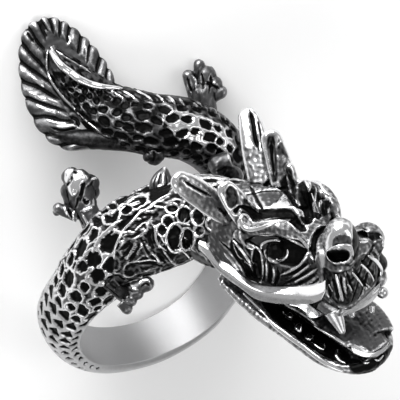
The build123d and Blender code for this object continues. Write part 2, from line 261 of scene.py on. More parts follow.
def mesh_piece(name, points, faces):
    """A new object from points of the finger's frame and faces."""
    mesh = bpy.data.meshes.new(name)
    mesh.from_pydata([tuple(p) for p in points], [], faces)
    mesh.update()
    piece = bpy.data.objects.new(name, mesh)
    bpy.context.scene.collection.objects.link(piece)
    return piece


def choose(*pieces):
    """Select these pieces alone and make the first one active."""
    bpy.ops.object.select_all(action="DESELECT")
    for piece in pieces:
        piece.select_set(True)
    bpy.context.view_layer.objects.active = pieces[0]


def joined(name, pieces):
    """Several pieces as one object."""
    choose(*pieces)
    if len(pieces) > 1:
        bpy.ops.object.join()
    whole = bpy.context.view_layer.objects.active
    whole.name = name
    whole.data.name = name
    return whole


def with_modifier(piece, kind, **settings):
    """Add a modifier with these settings and apply it."""
    choose(piece)
    modifier = piece.modifiers.new(kind.title(), kind)
    for key, value in settings.items():
        setattr(modifier, key, value)
    bpy.ops.object.modifier_apply(modifier=modifier.name)


def cast_together(name, pieces, voxel, rounds=2):
    """Fuse overlapping pieces into one closed skin with softened joints, as a casting has."""
    whole = joined(name, pieces)
    with_modifier(whole, "REMESH", mode="VOXEL", voxel_size=voxel, adaptivity=0.0)
    with_modifier(whole, "SMOOTH", factor=0.5, iterations=rounds)
    return whole


def ball(centre, radius, stretch=(1, 1, 1), segments=28):
    """A ball of the finger's frame, stretched along the head's fore, left and up."""
    bpy.ops.object.select_all(action="DESELECT")
    bpy.ops.mesh.primitive_uv_sphere_add(segments=segments, ring_count=segments // 2, radius=radius)
    piece = bpy.context.view_layer.objects.active
    points = read(piece.data.vertices, "co", 3) * np.array(stretch)
    write_points(piece, np.asarray(centre) + points @ HEAD_AXES)
    return piece


def read(collection, key, width):
    """A property of all members of a mesh's collection, as an array."""
    values = np.empty(len(collection) * width, np.float32)
    collection.foreach_get(key, values)
    return values.reshape(-1, width).astype(float) if width > 1 else values.astype(float)


def write_points(piece, points):
    piece.data.vertices.foreach_set("co", np.asarray(points, np.float32).ravel())
    piece.data.update()


def triangles(mesh):
    mesh.calc_loop_triangles()
    values = np.empty(len(mesh.loop_triangles) * 3, np.int32)
    mesh.loop_triangles.foreach_get("vertices", values)
    return values.reshape(-1, 3)


def edges_of(mesh):
    values = np.empty(len(mesh.edges) * 2, np.int32)
    mesh.edges.foreach_get("vertices", values)
    return values.reshape(-1, 2)


class Relief:
    """A piece's surface while its low relief is raised and its recesses are blackened."""

    def __init__(self, piece, polish=0.3):
        self.piece = piece
        self.points = read(piece.data.vertices, "co", 3)
        self.normals = read(piece.data.vertex_normals, "vector", 3)
        self.lift = np.zeros(len(self.points))
        self.ink = np.zeros(len(self.points))
        self.polish = np.full(len(self.points), polish)
        self.shift = np.zeros((len(self.points), 3))
        self.tree = surface_tree(self.points, piece)

    def under(self, place):
        """The point of the surface that shows at a place of the photograph."""
        start = seen_at(place) + VIEW_BACK * RAY_START
        hit = self.tree.ray_cast(Vector(start), Vector(-VIEW_BACK))[0]
        return None if hit is None else np.array(hit)

    def path(self, places):
        """A smooth line over the surface through places of the photograph."""
        points = [self.under(p) for p in places]
        points = [p for p in points if p is not None]
        if len(points) < 2:
            return None
        return smooth_rows(points, 6 * len(points))

    def stroke(self, half_width, height, ink, places, mirror=False):
        """Raise or sink the surface along a line; ink above 0 blackens it, below 0 polishes it."""
        path = self.path(places)
        if path is not None:
            self.trace(half_width, height, ink, path, mirror)

    def strokes(self, rows, mirror=False):
        """Rows of half width, height, ink and one or more lines of places."""
        for half_width, height, ink, *lines in rows:
            for places in lines:
                self.stroke(half_width, height, ink, places, mirror)

    def trace(self, half_width, height, ink, path, mirror=False):
        """A stroke along a path of points."""
        for line in (path, mirrored(path)) if mirror else (path,):
            near, share = distance_to(self.points, line, 2.6 * half_width)
            taper = np.clip(np.minimum(share, 1 - share) / 0.15, 0.3, 1)
            profile = np.exp(-(near / (half_width * taper)) ** 2)
            self.lift += height * profile * taper
            if ink > 0:
                self.ink = np.maximum(self.ink, ink * profile)
                self.polish *= 1 - profile
            else:
                self.polish = np.maximum(self.polish, -ink * profile)
                self.ink *= 1 - np.minimum(-ink, 1) * profile

    def patch(self, ink, polish, lift, places, mirror=False, reach=2.5, feather=1.4):
        """Give the surface inside an outline of places of the photograph a tone and height; at some places
        that tone is a painted highlight.

        Only what lies within reach of the outline's middle changes, or all depths without a reach.
        """
        middle = self.under(np.mean(places, axis=0)) if reach else np.zeros(3)
        if middle is None:
            return
        for points, normals in self.sides(mirror):
            depth = points @ VIEW_BACK - middle @ VIEW_BACK
            close = np.flatnonzero((np.abs(depth) < (reach or FAR)) & (normals @ VIEW_BACK > -0.05))
            weight = inside_outline(shown_at(points[close]), closed_curve(places), feather)
            weight = weight * smoothstep(-0.05, 0.2, normals[close] @ VIEW_BACK)
            self.ink[close] += (ink - self.ink[close]) * weight
            self.polish[close] += (polish - self.polish[close]) * weight
            self.lift[close] += lift * weight

    def patches(self, rows, **settings):
        """Rows of ink, polish, height and the outline's places."""
        for row in rows:
            self.patch(*row, **settings)

    def sides(self, mirror):
        """The surface, and again as it is mirrored from the head's other side."""
        yield self.points, self.normals
        if mirror:
            flip = HEAD_AXES.T @ np.diag([1, -1, 1]) @ HEAD_AXES
            yield mirrored(self.points), self.normals @ flip

    def dent(self, places, half_width, depth):
        """Sink a flat-bottomed blackened hole straight away from the camera."""
        path = self.path(places)
        near, _ = distance_to(self.points, path, 2.0 * half_width)
        profile = np.exp(-(near / half_width) ** 4) * smoothstep(-0.2, 0.3, self.normals @ VIEW_BACK)
        self.shift -= VIEW_BACK * (depth * profile)[:, None]
        self.ink = np.maximum(self.ink, np.exp(-(near / (1.1 * half_width)) ** 6))
        self.polish *= 1 - profile

    def roughen(self, height, size, seed, weight=1.0):
        """Small uneven lumps all over, as an investment casting has."""
        self.lift += height * weight * waves(self.points, size, seed)

    def apply(self):
        """Move the piece's points to where the relief puts them."""
        raised = self.points + self.normals * self.lift[:, None] + self.shift
        write_points(self.piece, raised)
        self.tree = surface_tree(raised, self.piece)


def surface_tree(points, piece):
    """A tree that finds where a line of sight meets a piece whose points are given."""
    return BVHTree.FromPolygons([Vector(p) for p in points], triangles(piece.data).tolist())


def closed_curve(places):
    """A smooth closed outline through places of the photograph."""
    places = np.array(places, float)
    around = np.vstack([places[-1:], places, places[:2]])
    count = 6 * (len(around) - 1) + 1
    return smooth_rows(around, count)[6:-7]


def mirrored(points):
    """Points of the finger's frame mirrored from one side of the head to the other."""
    flipped = to_head(points)
    flipped[:, 1] *= -1
    return from_head(flipped)


def shown_at(points):
    """The places of the photograph at which points of the finger's frame show."""
    right, up = points @ VIEW_RIGHT, points @ VIEW_UP
    return np.stack([VIEW_ORIGIN[0] + right * VIEW_SCALE, VIEW_ORIGIN[1] - up * VIEW_SCALE], axis=1)


def inside_outline(places, outline, feather):
    """1 inside a closed outline and 0 outside, with a soft edge."""
    inside = np.zeros(len(places), bool)
    gap = np.full(len(places), FAR)
    for a, b in zip(outline, np.roll(outline, -1, axis=0)):
        step = b - a
        crosses = (a[1] > places[:, 1]) != (b[1] > places[:, 1])
        rise = step[1] if abs(step[1]) > 1e-9 else 1e-9
        inside ^= crosses & (places[:, 0] < a[0] + (places[:, 1] - a[1]) * step[0] / rise)
        t = np.clip((places - a) @ step / max(step @ step, 1e-9), 0, 1)
        gap = np.minimum(gap, np.linalg.norm(places - a - t[:, None] * step, axis=1))
    return smoothstep(-feather, feather, np.where(inside, gap, -gap))


def waves(points, size, seed, count=14):
    """Smooth random lumps of about the given size, from -1 to 1."""
    rng = np.random.default_rng(seed)
    ways = unit(rng.normal(size=(count, 3))) * rng.uniform(0.7, 1.4, (count, 1)) * 2 * math.pi / size
    phase = rng.uniform(0, 2 * math.pi, count)
    total = np.zeros(len(points))
    for way, shift in zip(ways, phase):
        total += np.sin(points @ way + shift)
    return np.clip(total / math.sqrt(count), -1.6, 1.6) / 1.6


def distance_to(points, path, reach):
    """Distance from points to a path and the share along it, beyond reach a large number."""
    near = np.full(len(points), FAR)
    share = np.zeros(len(points))
    lengths = np.concatenate([[0], np.cumsum(np.linalg.norm(np.diff(path, axis=0), axis=1))])
    low, high = path.min(0) - reach, path.max(0) + reach
    inside = np.flatnonzero(((points > low) & (points < high)).all(1))
    close = points[inside]
    best = np.full(len(inside), FAR)
    best_share = np.zeros(len(inside))
    for k in range(len(path) - 1):
        a, step = path[k], path[k + 1] - path[k]
        span = max(float(step @ step), 1e-12)
        t = np.clip((close - a) @ step / span, 0, 1)
        gap = np.linalg.norm(close - a - t[:, None] * step, axis=1)
        closer = gap < best
        best = np.where(closer, gap, best)
        along = (lengths[k] + t * (lengths[k + 1] - lengths[k])) / max(lengths[-1], 1e-9)
        best_share = np.where(closer, along, best_share)
    near[inside] = best
    share[inside] = best_share
    return near, share


def hollows(piece, rounds):
    """How far each point of a piece lies below the mean of its surroundings, in millimetres."""
    mesh = piece.data
    points = read(mesh.vertices, "co", 3)
    normals = read(mesh.vertex_normals, "vector", 3)
    ends = edges_of(mesh)
    count = len(points)
    degree = np.bincount(ends.ravel(), minlength=count)[:, None]
    mean = points
    for _ in range(rounds):
        total = np.empty_like(points)
        for axis in range(3):
            total[:, axis] = (np.bincount(ends[:, 0], mean[ends[:, 1], axis], count)
                              + np.bincount(ends[:, 1], mean[ends[:, 0], axis], count))
        mean = 0.5 * mean + 0.5 * total / np.maximum(degree, 1)
    return ((mean - points) * normals).sum(1)


def finished(piece, ink, polish, satin, material):
    """Store the finish, lay the piece into the CAD frame and let it ride on the casting."""
    mesh = piece.data
    # The second attribute holds the casting's rubbed polish and, at some places, painted highlights.
    for name, values in (("patina", ink), ("polish", polish), ("satin", satin)):
        attribute = mesh.attributes.new(name, "FLOAT", "POINT")
        attribute.data.foreach_set("value", np.asarray(values, np.float32))
    write_points(piece, laid(read(mesh.vertices, "co", 3)))
    mesh.polygons.foreach_set("use_smooth", np.ones(len(mesh.polygons), bool))
    mesh.materials.clear()
    mesh.materials.append(material)
    mesh.update()
    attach(piece, "root")
    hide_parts(NODE)


# How many rounds of smoothing hollows are measured against: fine creases and broad forms
FINE_ROUNDS = 5
BROAD_ROUNDS = 50


def antiqued(piece, relief, satin=None, fine=0.03, broad=0.15, rubbed_and_sheen=1.0):
    """Blacken what lies low and rub bright what stands proud, then finish the piece.

    fine and broad are the depths, in millimetres, of a hollow that is fully counted.
    """
    low = hollows(piece, FINE_ROUNDS) / fine
    wide = hollows(piece, BROAD_ROUNDS) / broad
    ink = relief.ink + np.clip(low, 0, 1) * 0.5 + np.clip(wide, 0, 1) * 0.6
    ink = ink - relief.polish * 0.25
    proud = (np.clip(-low, 0, 1) * 0.55 + np.clip(-wide, 0, 1) * 0.22) * rubbed_and_sheen
    polish = relief.polish + proud - relief.ink * 0.6
    plain = np.zeros(len(low)) if satin is None else satin
    finished(piece, np.clip(ink, 0, 1), np.clip(polish, 0, 1), plain, antique_steel())


def bare(piece, polish):
    """Finish a piece with the same polish all over."""
    count = len(piece.data.vertices)
    finished(piece, np.zeros(count), np.full(count, polish), np.zeros(count), antique_steel())


def beads(name, rows, relief, mirror=False, polish=1.0):
    """Slim polished ridges, half sunk, along lines through places of the photograph."""
    pieces = []
    for radius, places in rows:
        path = relief.path(places)
        if path is None:
            continue
        for line in (path, mirrored(path)) if mirror else (path,):
            share = np.linspace(0, 1, len(line))
            size = radius * np.sqrt(np.clip(4 * share * (1 - share), 0.02, 1)) ** 0.7
            line = line + VIEW_BACK * 0.4 * radius
            points, faces = tube(line, VIEW_RIGHT + 0.3 * VIEW_UP, size, size, 0.0, 12)
            pieces.append(mesh_piece(name, points, faces))
    bare(joined(name, pieces), polish)


# Shader maths


class Socket:
    """A shader value that adds its own Math nodes when it is reckoned with."""

    def __init__(self, nodes, link):
        self.nodes = nodes
        self.link = link

    def reckon(self, operation, *others):
        return self.nodes.add("ShaderNodeMath", {"operation": operation},
                              {i: v for i, v in enumerate((self,) + others)})

    def __add__(self, other):
        return self.reckon("ADD", other)

    def __radd__(self, other):
        return self.reckon("ADD", other)

    def __sub__(self, other):
        return self.reckon("SUBTRACT", other)

    def __rsub__(self, other):
        return (self * -1) + other

    def __mul__(self, other):
        return self.reckon("MULTIPLY", other)

    def __rmul__(self, other):
        return self.reckon("MULTIPLY", other)

    def clamped(self):
        return self.nodes.add("ShaderNodeClamp", {}, {0: self})

    def ramp(self, low, high, start=0.0, end=1.0):
        """start below low, end above high and a smooth change between them."""
        settings = {"interpolation_type": "SMOOTHSTEP"}
        values = {0: self, 1: low, 2: high, 3: start, 4: end}
        return self.nodes.add("ShaderNodeMapRange", settings, values)


class Nodes:
    """A material's node tree, to which one method adds every kind of node."""

    def __init__(self, name):
        self.material = bpy.data.materials.new(name)
        self.material.use_nodes = True
        self.tree = self.material.node_tree
        self.tree.nodes.clear()

    def add(self, kind, settings, values, output=0):
        """One node with its settings and its sockets' values or links; its output as a socket."""
        node = self.tree.nodes.new(kind)
        for key, value in settings.items():
            setattr(node, key, value)
        for key, value in values.items():
            if isinstance(value, Socket):
                self.tree.links.new(value.link, node.inputs[key])
            else:
                node.inputs[key].default_value = value
        return Socket(self, node.outputs[output]) if len(node.outputs) else None

    def attribute(self, name):
        return self.add("ShaderNodeAttribute", {"attribute_name": name}, {}, "Fac")

    def colour_mix(self, share, first, second):
        """A mix of two colours, each a socket or three numbers."""
        ends = [end if isinstance(end, Socket) else (*end, 1) for end in (first, second)]
        return self.add("ShaderNodeMix", {"data_type": "RGBA"}, {0: share, 6: ends[0], 7: ends[1]}, 2)

    def noise(self, scale, detail, roughness):
        place = self.add("ShaderNodeTexCoord", {}, {}, "Object")
        values = {"Scale": scale, "Detail": detail, "Roughness": roughness, "Vector": place}
        return self.add("ShaderNodeTexNoise", {}, values)


def antique_steel():
    """Polished steel that turns black in its recesses and satin inside the bore."""
    found = bpy.data.materials.get("antique_steel")
    if found:
        return found
    look = bpy.context.scene.dragon_finish
    nodes = Nodes("antique_steel")
    patina = nodes.attribute("patina")
    polish = nodes.attribute("polish")
    satin = nodes.attribute("satin")
    grain = nodes.noise(2600.0, 3.0, 0.6)
    blotch = nodes.noise(900.0, 4.0, 0.7)
    fine = nodes.noise(9000.0, 2.0, 0.5)
    # The rubbed polish of the casting, together with the painted highlights that the same attribute carries
    # at some places.
    worn_and_sheen = (polish + (blotch - 0.5) * 0.9 * (1 - polish) + (grain - 0.5) * 0.3).ramp(0.12, 0.90)
    black = (patina + (blotch - 0.5) * 0.5 + (grain - 0.5) * 0.35 - polish * 0.2).ramp(0.25, 0.62)
    black = (black * (1 - satin)).clamped()
    worn_and_sheen = (worn_and_sheen * (1 - satin) + satin * 0.50).clamped()
    tone = nodes.colour_mix(worn_and_sheen, look.tarnish, look.steel)
    colour = nodes.colour_mix(black, tone, look.patina)
    bright_rough = (1 - worn_and_sheen) * 0.20 + grain * 0.08 + look.roughness
    rough = bright_rough * (1 - black) + black * 0.45
    rough = rough * (1 - satin) + (grain * 0.10 + 0.40) * satin
    height = grain * 0.7 + fine * 0.3
    bump = nodes.add("ShaderNodeBump", {}, {"Strength": 0.18, "Distance": 0.00006, "Height": height})
    shader = nodes.add("ShaderNodeBsdfPrincipled", {}, {
        "Base Color": colour, "Roughness": rough, "Metallic": 1.0, "Normal": bump})
    nodes.add("ShaderNodeOutputMaterial", {}, {"Surface": shader})
    return nodes.material


# Body


TURN = 9                    # the column of body_rows that holds the turn round the bore
FINE_STEP = 0.13            # millimetres between a sweep's rings where it has scales
# Where a stretch of the body runs on inside the next one, it is slimmer and clear of the bore
TUCK_SLIM = 0.05            # share of its size
TUCK_LIFT = 0.08            # millimetres


def body_rows():
    """The body's sections from the tail's tip into the head, one row each.

    Columns: centre x, y, z, across x, y, z, half width, half height, squareness, turn.
    """
    neck = [bore_point(t, BORE_RADIUS + lift * BODY_HEIGHT, along * TAIL_SHIFT)
            for t, along, lift, _, _ in BODY_SECTIONS]
    head = [in_head(fore, 0, up) for fore, up, _, _, _ in HEAD_SECTIONS]
    centres = neck + head
    rows = []
    for i, (turn, _, _, wide, high) in enumerate(BODY_SECTIONS):
        forward = centres[i + 1] - centres[max(i - 1, 0)]
        across = unit(np.cross(forward, bore_point(turn, 1, 0)))
        rows.append((*centres[i], *across, wide * BODY_WIDTH / 2, high * BODY_HEIGHT / 2, 0, turn))
    for k, (fore, up, wide, high, square) in enumerate(HEAD_SECTIONS):
        turn = BODY_SECTIONS[-1][0] - HEAD_ROW_TURN * (k + 1)
        rows.append((*head[k], *(-HEAD_AXES[1]), wide * HEAD_WIDTH / 2, high * HEAD_HEIGHT / 2,
                     square, turn))
    return np.array(rows)


def out_of_bore(points, wall):
    """Points that would stand in the finger's space, moved onto the bore's wall."""
    radius = np.hypot(points[:, 0], points[:, 2])
    factor = np.where(radius < wall, wall / np.maximum(radius, 1e-6), 1.0)
    moved = points.copy()
    moved[:, 0] *= factor
    moved[:, 2] *= factor
    return moved


JITTER_ROWS = 512           # rows of scales before their random shapes repeat


def cell_pits(along, around, columns, size, taper, wild, points, seed):
    """Depth of staggered scale pits, 0 to 1, and how near each point is to a pit's rim."""
    best = np.full(len(along), FAR)
    rng = np.random.default_rng(seed)
    jitter = rng.uniform(-1, 1, (JITTER_ROWS, columns, 4))
    uneven = wild * (0.18 * waves(points, 0.8, seed) + 0.08 * waves(points, 0.35, seed + 1))
    row = np.floor(around).astype(int)
    for db in (-1, 0, 1, 2):
        j = row + db
        offset = 0.5 * (j % 2)
        column = np.round(along - offset).astype(int)
        for da in (-1, 0, 1):
            i = column + da
            random = jitter[i % JITTER_ROWS, j % columns]
            ex = along - offset - i - 0.20 * wild * random[:, 0]
            ey = around - j - 0.20 * wild * random[:, 1]
            grow = np.maximum(size * (1 + 0.30 * wild * random[:, 2]), 1e-3)
            narrow = 1 - taper * np.clip(ex / grow, -1, 1)
            skew = ey + 0.25 * random[:, 3] * ex
            rx, ry = grow * 1.1, np.maximum(grow * narrow, 1e-3)
            d = (np.abs(ex / rx) ** 2.3 + np.abs(skew / ry) ** 2.3) ** (1 / 2.3) + uneven
            best = np.minimum(best, np.where(grow > 0.05, d, FAR))
    return smoothstep(1.10, 0.72, best), np.exp(-((best - 1.25) / 0.20) ** 2)


class BodySpan:
    """One stretch of the body as a closed sweep with scale pits pressed into it."""

    def __init__(self, name, rows, steps, around, columns, seed, tuck_turns):
        rows = evenly(rows, steps)
        count = len(rows)
        tuck = smoothstep(*tuck_turns, rows[:, TURN])
        slim = 1 - TUCK_SLIM * tuck
        points, faces = tube(rows[:, :3], rows[:, 3:6], rows[:, 6] * slim, rows[:, 7] * slim,
                             rows[:, 8], around)
        under = np.concatenate([np.repeat(tuck, around), (tuck[0], tuck[-1])])
        points = out_of_bore(points, BORE_RADIUS + TUCK_LIFT * under)
        self.piece = mesh_piece(name, points, faces)
        self.relief = Relief(self.piece)
        self.columns = columns
        self.seed = seed
        self.wall = np.hypot(self.relief.points[:, 0], self.relief.points[:, 2]) - BORE_RADIUS
        ring = np.concatenate([np.repeat(np.arange(count), around), (0, count - 1)])
        angle = np.concatenate([np.tile(np.arange(around) * 360.0 / around, count), (0, 0)])
        self.angle = (angle + 180) % 360 - 180
        self.turn = rows[ring, TURN]
        gaps = np.linalg.norm(np.diff(rows[:, :3], axis=0), axis=1)
        scale = 1.08 * math.pi * (rows[1:, 6] + rows[1:, 7]) / columns
        self.cells = np.concatenate([[0], np.cumsum(gaps / scale)])[ring]

    def press_scales(self, depth, size, taper, weight, shine, wild):
        """Press the pits; size, taper, weight, shine and wild are given for each point."""
        around = self.angle / 360 * self.columns
        r = self.relief
        pit, rim = cell_pits(self.cells, around, self.columns, size, taper, wild, r.points, self.seed)
        r.lift += weight * depth * (0.30 * wild * rim - pit)
        r.ink = np.maximum(r.ink, weight * pit * 1.1)
        r.polish += weight * (shine * rim - r.polish * pit)

    def bare_wall(self):
        """1 on the bore's own wall and 0 on the outside."""
        return smoothstep(0.25, 0.02, self.wall)

    def satin(self, plain):
        """The satin finish of the bore's wall and of the stretch that is plain, bar its pits."""
        return np.maximum(self.bare_wall(), 0.75 * plain * (1 - np.minimum(1.5 * self.relief.ink, 1)))


TAIL_END_TURN = -40.0       # round the bore, where the tail's stretch gives way to the neck's
TAIL_OVERLAP = 24           # degrees that the tail runs on inside the neck
NECK_OVERLAP = 12           # degrees that the neck runs on inside the tail
TAIL_AROUND = 190           # points round each ring of the sweep
TAIL_COLUMNS = 16           # scales round the tail
TAIL_SCALE_TURN = 20.0      # where its fine rings start
TAIL_BARE_STEP = 0.30       # millimetres between the rings before them
# A painted highlight where the light falls on the scales, and the polished stem from the ridge into the fan
TAIL_PAINTED_HIGHLIGHT = [(166, 112), (200, 116), (226, 130), (232, 150), (205, 146), (176, 134)]
TAIL_CREST = [
    (51, 52), (57, 56), (63, 64), (71, 71), (80, 78), (92, 83), (118, 87), (100, 89), (86, 86), (81, 82),
    (75, 80), (66, 74), (60, 67), (55, 61),
]
# half width, height, ink above 0 or polish below 0, then lines of places of the photograph
TAIL_LINES = [
    (0.20, 0.22, -1.0, [(50, 46), (54, 54), (60, 64), (67, 73), (76, 79), (86, 84)]),
    (0.26, 0.20, -1.0, [(52, 53), (58, 60), (66, 69), (76, 76), (88, 82), (100, 86), (118, 88)]),
    (0.14, 0.16, -0.9, [(56, 50), (66, 57), (78, 64), (90, 72)]),
    (0.13, -0.18, 0.9, [(60, 52), (70, 58), (82, 66)]),
    (0.12, -0.14, 0.7, [(57, 57), (64, 63), (72, 70)]),
    (0.13, 0.18, -0.7, [(109, 90), (117, 94), (124, 100)], [(121, 90), (129, 94), (137, 100)]),
    (0.13, 0.20, -0.9, [(134, 90), (143, 94), (152, 100)]),
    (0.13, 0.20, -1.0, [(146, 89), (155, 94), (164, 101)], [(158, 91), (167, 96), (175, 102)]),
    (0.12, 0.18, -0.8, [(170, 93), (178, 98), (186, 105)]),
    (0.12, 0.16, -0.6, [(184, 96), (192, 102), (199, 109)]),
    (0.12, 0.16, -0.5, [(196, 101), (203, 106), (211, 114)], [(208, 106), (216, 112), (223, 121)],
     [(219, 112), (226, 119), (232, 129)]),
    (0.13, -0.20, 1.0, [(88, 86), (93, 92), (98, 98)], [(103, 90), (111, 95), (118, 101)],
     [(115, 91), (123, 95), (131, 101)], [(128, 91), (136, 96), (144, 101)],
     [(140, 90), (149, 95), (158, 101)], [(152, 91), (161, 96), (170, 102)]),
    (0.12, -0.18, 1.0, [(165, 93), (173, 98), (181, 104)]),
    (0.12, -0.18, 0.9, [(178, 95), (186, 101), (193, 107)], [(190, 99), (198, 104), (205, 111)],
     [(202, 104), (210, 109), (217, 117)], [(214, 109), (221, 116), (228, 125)]),
]


# Radius in millimetres, then places
TAIL_BEADS = [
    (0.15, [(48, 56), (46, 66), (47, 72), (50, 79), (55, 87), (64, 98), (73, 107), (79, 114)]),
    (0.40, [(49, 49), (55, 58), (62, 66), (70, 72), (78, 78), (90, 83.5), (104, 86.5), (122, 88)]),
    (0.08, [(79, 114), (89, 123), (99, 131)]),
]
# The smooth stem under the tail that leads into the fan: places and radii in millimetres
TAIL_STEM = [
    ((48, 131), 0.10), ((58, 135), 0.35), ((68, 137), 0.7), ((80, 138.5), 0.95), ((94, 139), 1.0),
    ((112, 140), 1.0), ((132, 143), 0.9), ((150, 149), 0.7),
]
TAIL_STEM_AT = (112, 130)   # the place of the tail's surface below which it lies
TAIL_STEM_DROP = 1.3        # millimetres


def make_tail():
    rows = body_rows()
    rows = rows[rows[:, TURN] >= TAIL_END_TURN - TAIL_OVERLAP]
    span = BodySpan("tail", rows,
                    lambda r: np.where(r[:, TURN] < TAIL_SCALE_TURN, TAIL_BARE_STEP, FINE_STEP),
                    TAIL_AROUND, TAIL_COLUMNS, seed=3, tuck_turns=(TAIL_END_TURN - 12, TAIL_END_TURN - 22))
    depth = bpy.context.scene.dragon_body.scale_depth
    r = span.relief
    crest = smoothstep(26, 16, np.abs(span.angle + 128))
    belly = smoothstep(12, 30, span.angle) * smoothstep(150, 130, span.angle)
    rear = smoothstep(24, 38, span.turn)
    off_wall = smoothstep(0.5, 1.5, span.wall)
    scaled = smoothstep(-28, 14, span.turn)
    tip = smoothstep(97.0, 94.5, span.turn)
    plain = smoothstep(6, -26, span.turn)
    r.polish[:] = 0.12 + 0.48 * plain
    # Painted highlight: the scales are polished brighter where the light falls on them
    r.patch(0.0, 0.62, 0.0, TAIL_PAINTED_HIGHLIGHT, reach=6.0, feather=5.0)
    # bright holds the plain stretch's real polish and the painted highlight, and sets the rims' shine and
    # rubbing
    bright = np.clip(2 * r.polish - 0.24, 0, 1)
    grey = (1 - belly) * scaled * (0.60 * waves(r.points, 1.1, 31) + 0.36 + 0.16 * rear)
    r.ink = np.maximum(r.ink, np.clip(grey, 0, 0.8) * (1 - np.minimum(1.5 * r.polish, 1)))
    weight = (1 - crest) * (1 - 0.85 * belly) * off_wall * scaled * tip
    span.press_scales(depth, 0.36, 0.0, weight, 0.30 * bright, 0.9)
    r.ink = np.maximum(r.ink, 0.38 * belly * scaled)
    r.ink = np.maximum(r.ink, 0.34 * crest * scaled)
    r.patch(0.0, 1.0, 0.10, TAIL_CREST, reach=6.0, feather=0.8)
    r.strokes(TAIL_LINES)
    r.roughen(0.035, 0.7, 5, scaled * off_wall)
    r.apply()
    antiqued(span.piece, r, span.satin(plain), rubbed_and_sheen=0.35 + 0.65 * bright)
    beads("tail_ridges", TAIL_BEADS, r, polish=0.9)
    make_tail_stem(r.under(TAIL_STEM_AT) @ VIEW_BACK - TAIL_STEM_DROP)


def make_tail_stem(level):
    """The smooth stem under the tail, at one depth towards the camera."""
    stem = smooth_rows([(*seen_at(place), radius) for place, radius in TAIL_STEM], 40)
    points, faces = tube(stem[:, :3] + VIEW_BACK * level, VIEW_RIGHT, stem[:, 3], stem[:, 3], 0.0, 28)
    piece = mesh_piece("tail_stem", points, faces)
    r = Relief(piece, 0.0)
    r.ink[:] = 0.50
    r.roughen(0.03, 0.9, 33)
    r.apply()
    antiqued(piece, r, rubbed_and_sheen=0.2)


NECK_AROUND = 200
NECK_COLUMNS = 13
NECK_SCALE_TURN = -132.0    # round the bore, where its scales and its fine rings start
NECK_BARE_STEP = 0.40
# The feathered flank, which takes the place of the pressed scales
FLANK = [(171, 192), (150, 206), (134, 218), (120, 238), (113, 262), (112, 290), (140, 276), (176, 274),
         (206, 278), (232, 262), (214, 225), (196, 200)]
# half width, height, ink above 0 or polish below 0, then lines of places
NECK_LINES = [
    (0.14, 0.26, -1.0, [(170, 194), (160, 199), (151, 207), (140, 213), (132, 222), (124, 230),
      (119, 239), (115, 249), (114, 259)]),
    (0.16, -0.28, 1.0, [(154, 200), (146, 206), (138, 210), (129, 217), (122, 225), (116, 232)]),
    (0.16, 0.22, -0.9, [(140, 201), (132, 204), (123, 208), (119, 214), (115, 224), (108, 230),
      (102, 235)]),
    (0.10, 0.16, -0.5, [(132, 219), (137, 219), (142, 219)]),
    (0.10, 0.16, -0.6, [(142, 213), (148, 212), (155, 212)]),
    (0.10, 0.16, -0.5, [(150, 206), (157, 207), (164, 208)], [(118, 242), (122, 242), (127, 242)]),
    (0.10, 0.16, -0.4, [(122, 233), (127, 232), (132, 230)]),
    (0.10, 0.18, -0.8, [(155, 225), (156, 239), (160, 248)]),
    (0.10, 0.16, -0.6, [(160, 231), (162, 238), (165, 243)]),
    (0.10, 0.16, -0.4, [(126, 261), (132, 250), (137, 241)], [(141, 243), (146, 253), (152, 261)]),
    (0.10, 0.16, -0.3, [(134, 232), (140, 226), (148, 220)], [(131, 240), (140, 236), (149, 229)],
     [(136, 256), (140, 248), (146, 240)], [(150, 250), (155, 256), (160, 262)],
     [(163, 250), (169, 258), (176, 264)]),
    (0.10, 0.16, -0.4, [(134, 262), (150, 260), (166, 262), (184, 266), (199, 270)]),
    (0.12, -0.20, 1.0, [(120, 250), (126, 246), (130, 240)], [(127, 236), (134, 236), (141, 231)],
     [(136, 224), (144, 220), (152, 216)], [(143, 216), (151, 215), (159, 214)],
     [(148, 231), (150, 240), (154, 250)], [(141, 236), (144, 246), (149, 256)],
     [(120, 262), (127, 252), (133, 245)], [(130, 262), (135, 253), (140, 246)],
     [(156, 252), (163, 260), (170, 267)], [(140, 264), (152, 264), (166, 266), (180, 270)]),
    (0.12, -0.16, 0.8, [(158, 204), (166, 205), (174, 206)]),
]
# Scales with a raised ring: the middle's place, the half width and half height on the photograph
RINGED_SCALES = [
    (175, 238, 6.6, 12.5), (187, 239, 5.4, 9.5), (184, 215, 5.6, 7.6), (198, 217, 5.0, 7.6),
    (168, 222, 4.6, 5.6), (162, 230, 4.0, 5.5), (213, 224, 5.6, 5.6), (211, 250, 4.6, 5.6),
    (199, 231, 4.0, 4.6), (172, 208, 5.0, 3.6), (97, 222, 4.6, 5.4), (108, 219, 4.4, 4.4),
    (104, 210, 4.0, 4.0), (126, 209, 5.6, 4.0), (112, 206, 4.2, 3.6),
]
RING_STEPS = 14
NECK_BEADS = [
    (0.15, [(170, 194), (160, 199), (151, 207), (140, 213), (132, 222), (124, 230), (119, 239), (115, 249),
            (114, 259)]),
    (0.11, [(140, 201), (132, 204), (123, 208), (119, 214)]),
    (0.13, [(155, 225), (156, 239), (160, 246), (167, 251)]),
    (0.15, [(166, 246), (166, 237), (170, 227), (177, 223), (190, 225)]),
    (0.12, [(184, 230), (182, 238), (178, 247)]),
    (0.13, [(174, 250), (183, 251), (191, 260)]),
    (0.10, [(193, 231), (195, 240), (192, 247)]),
]


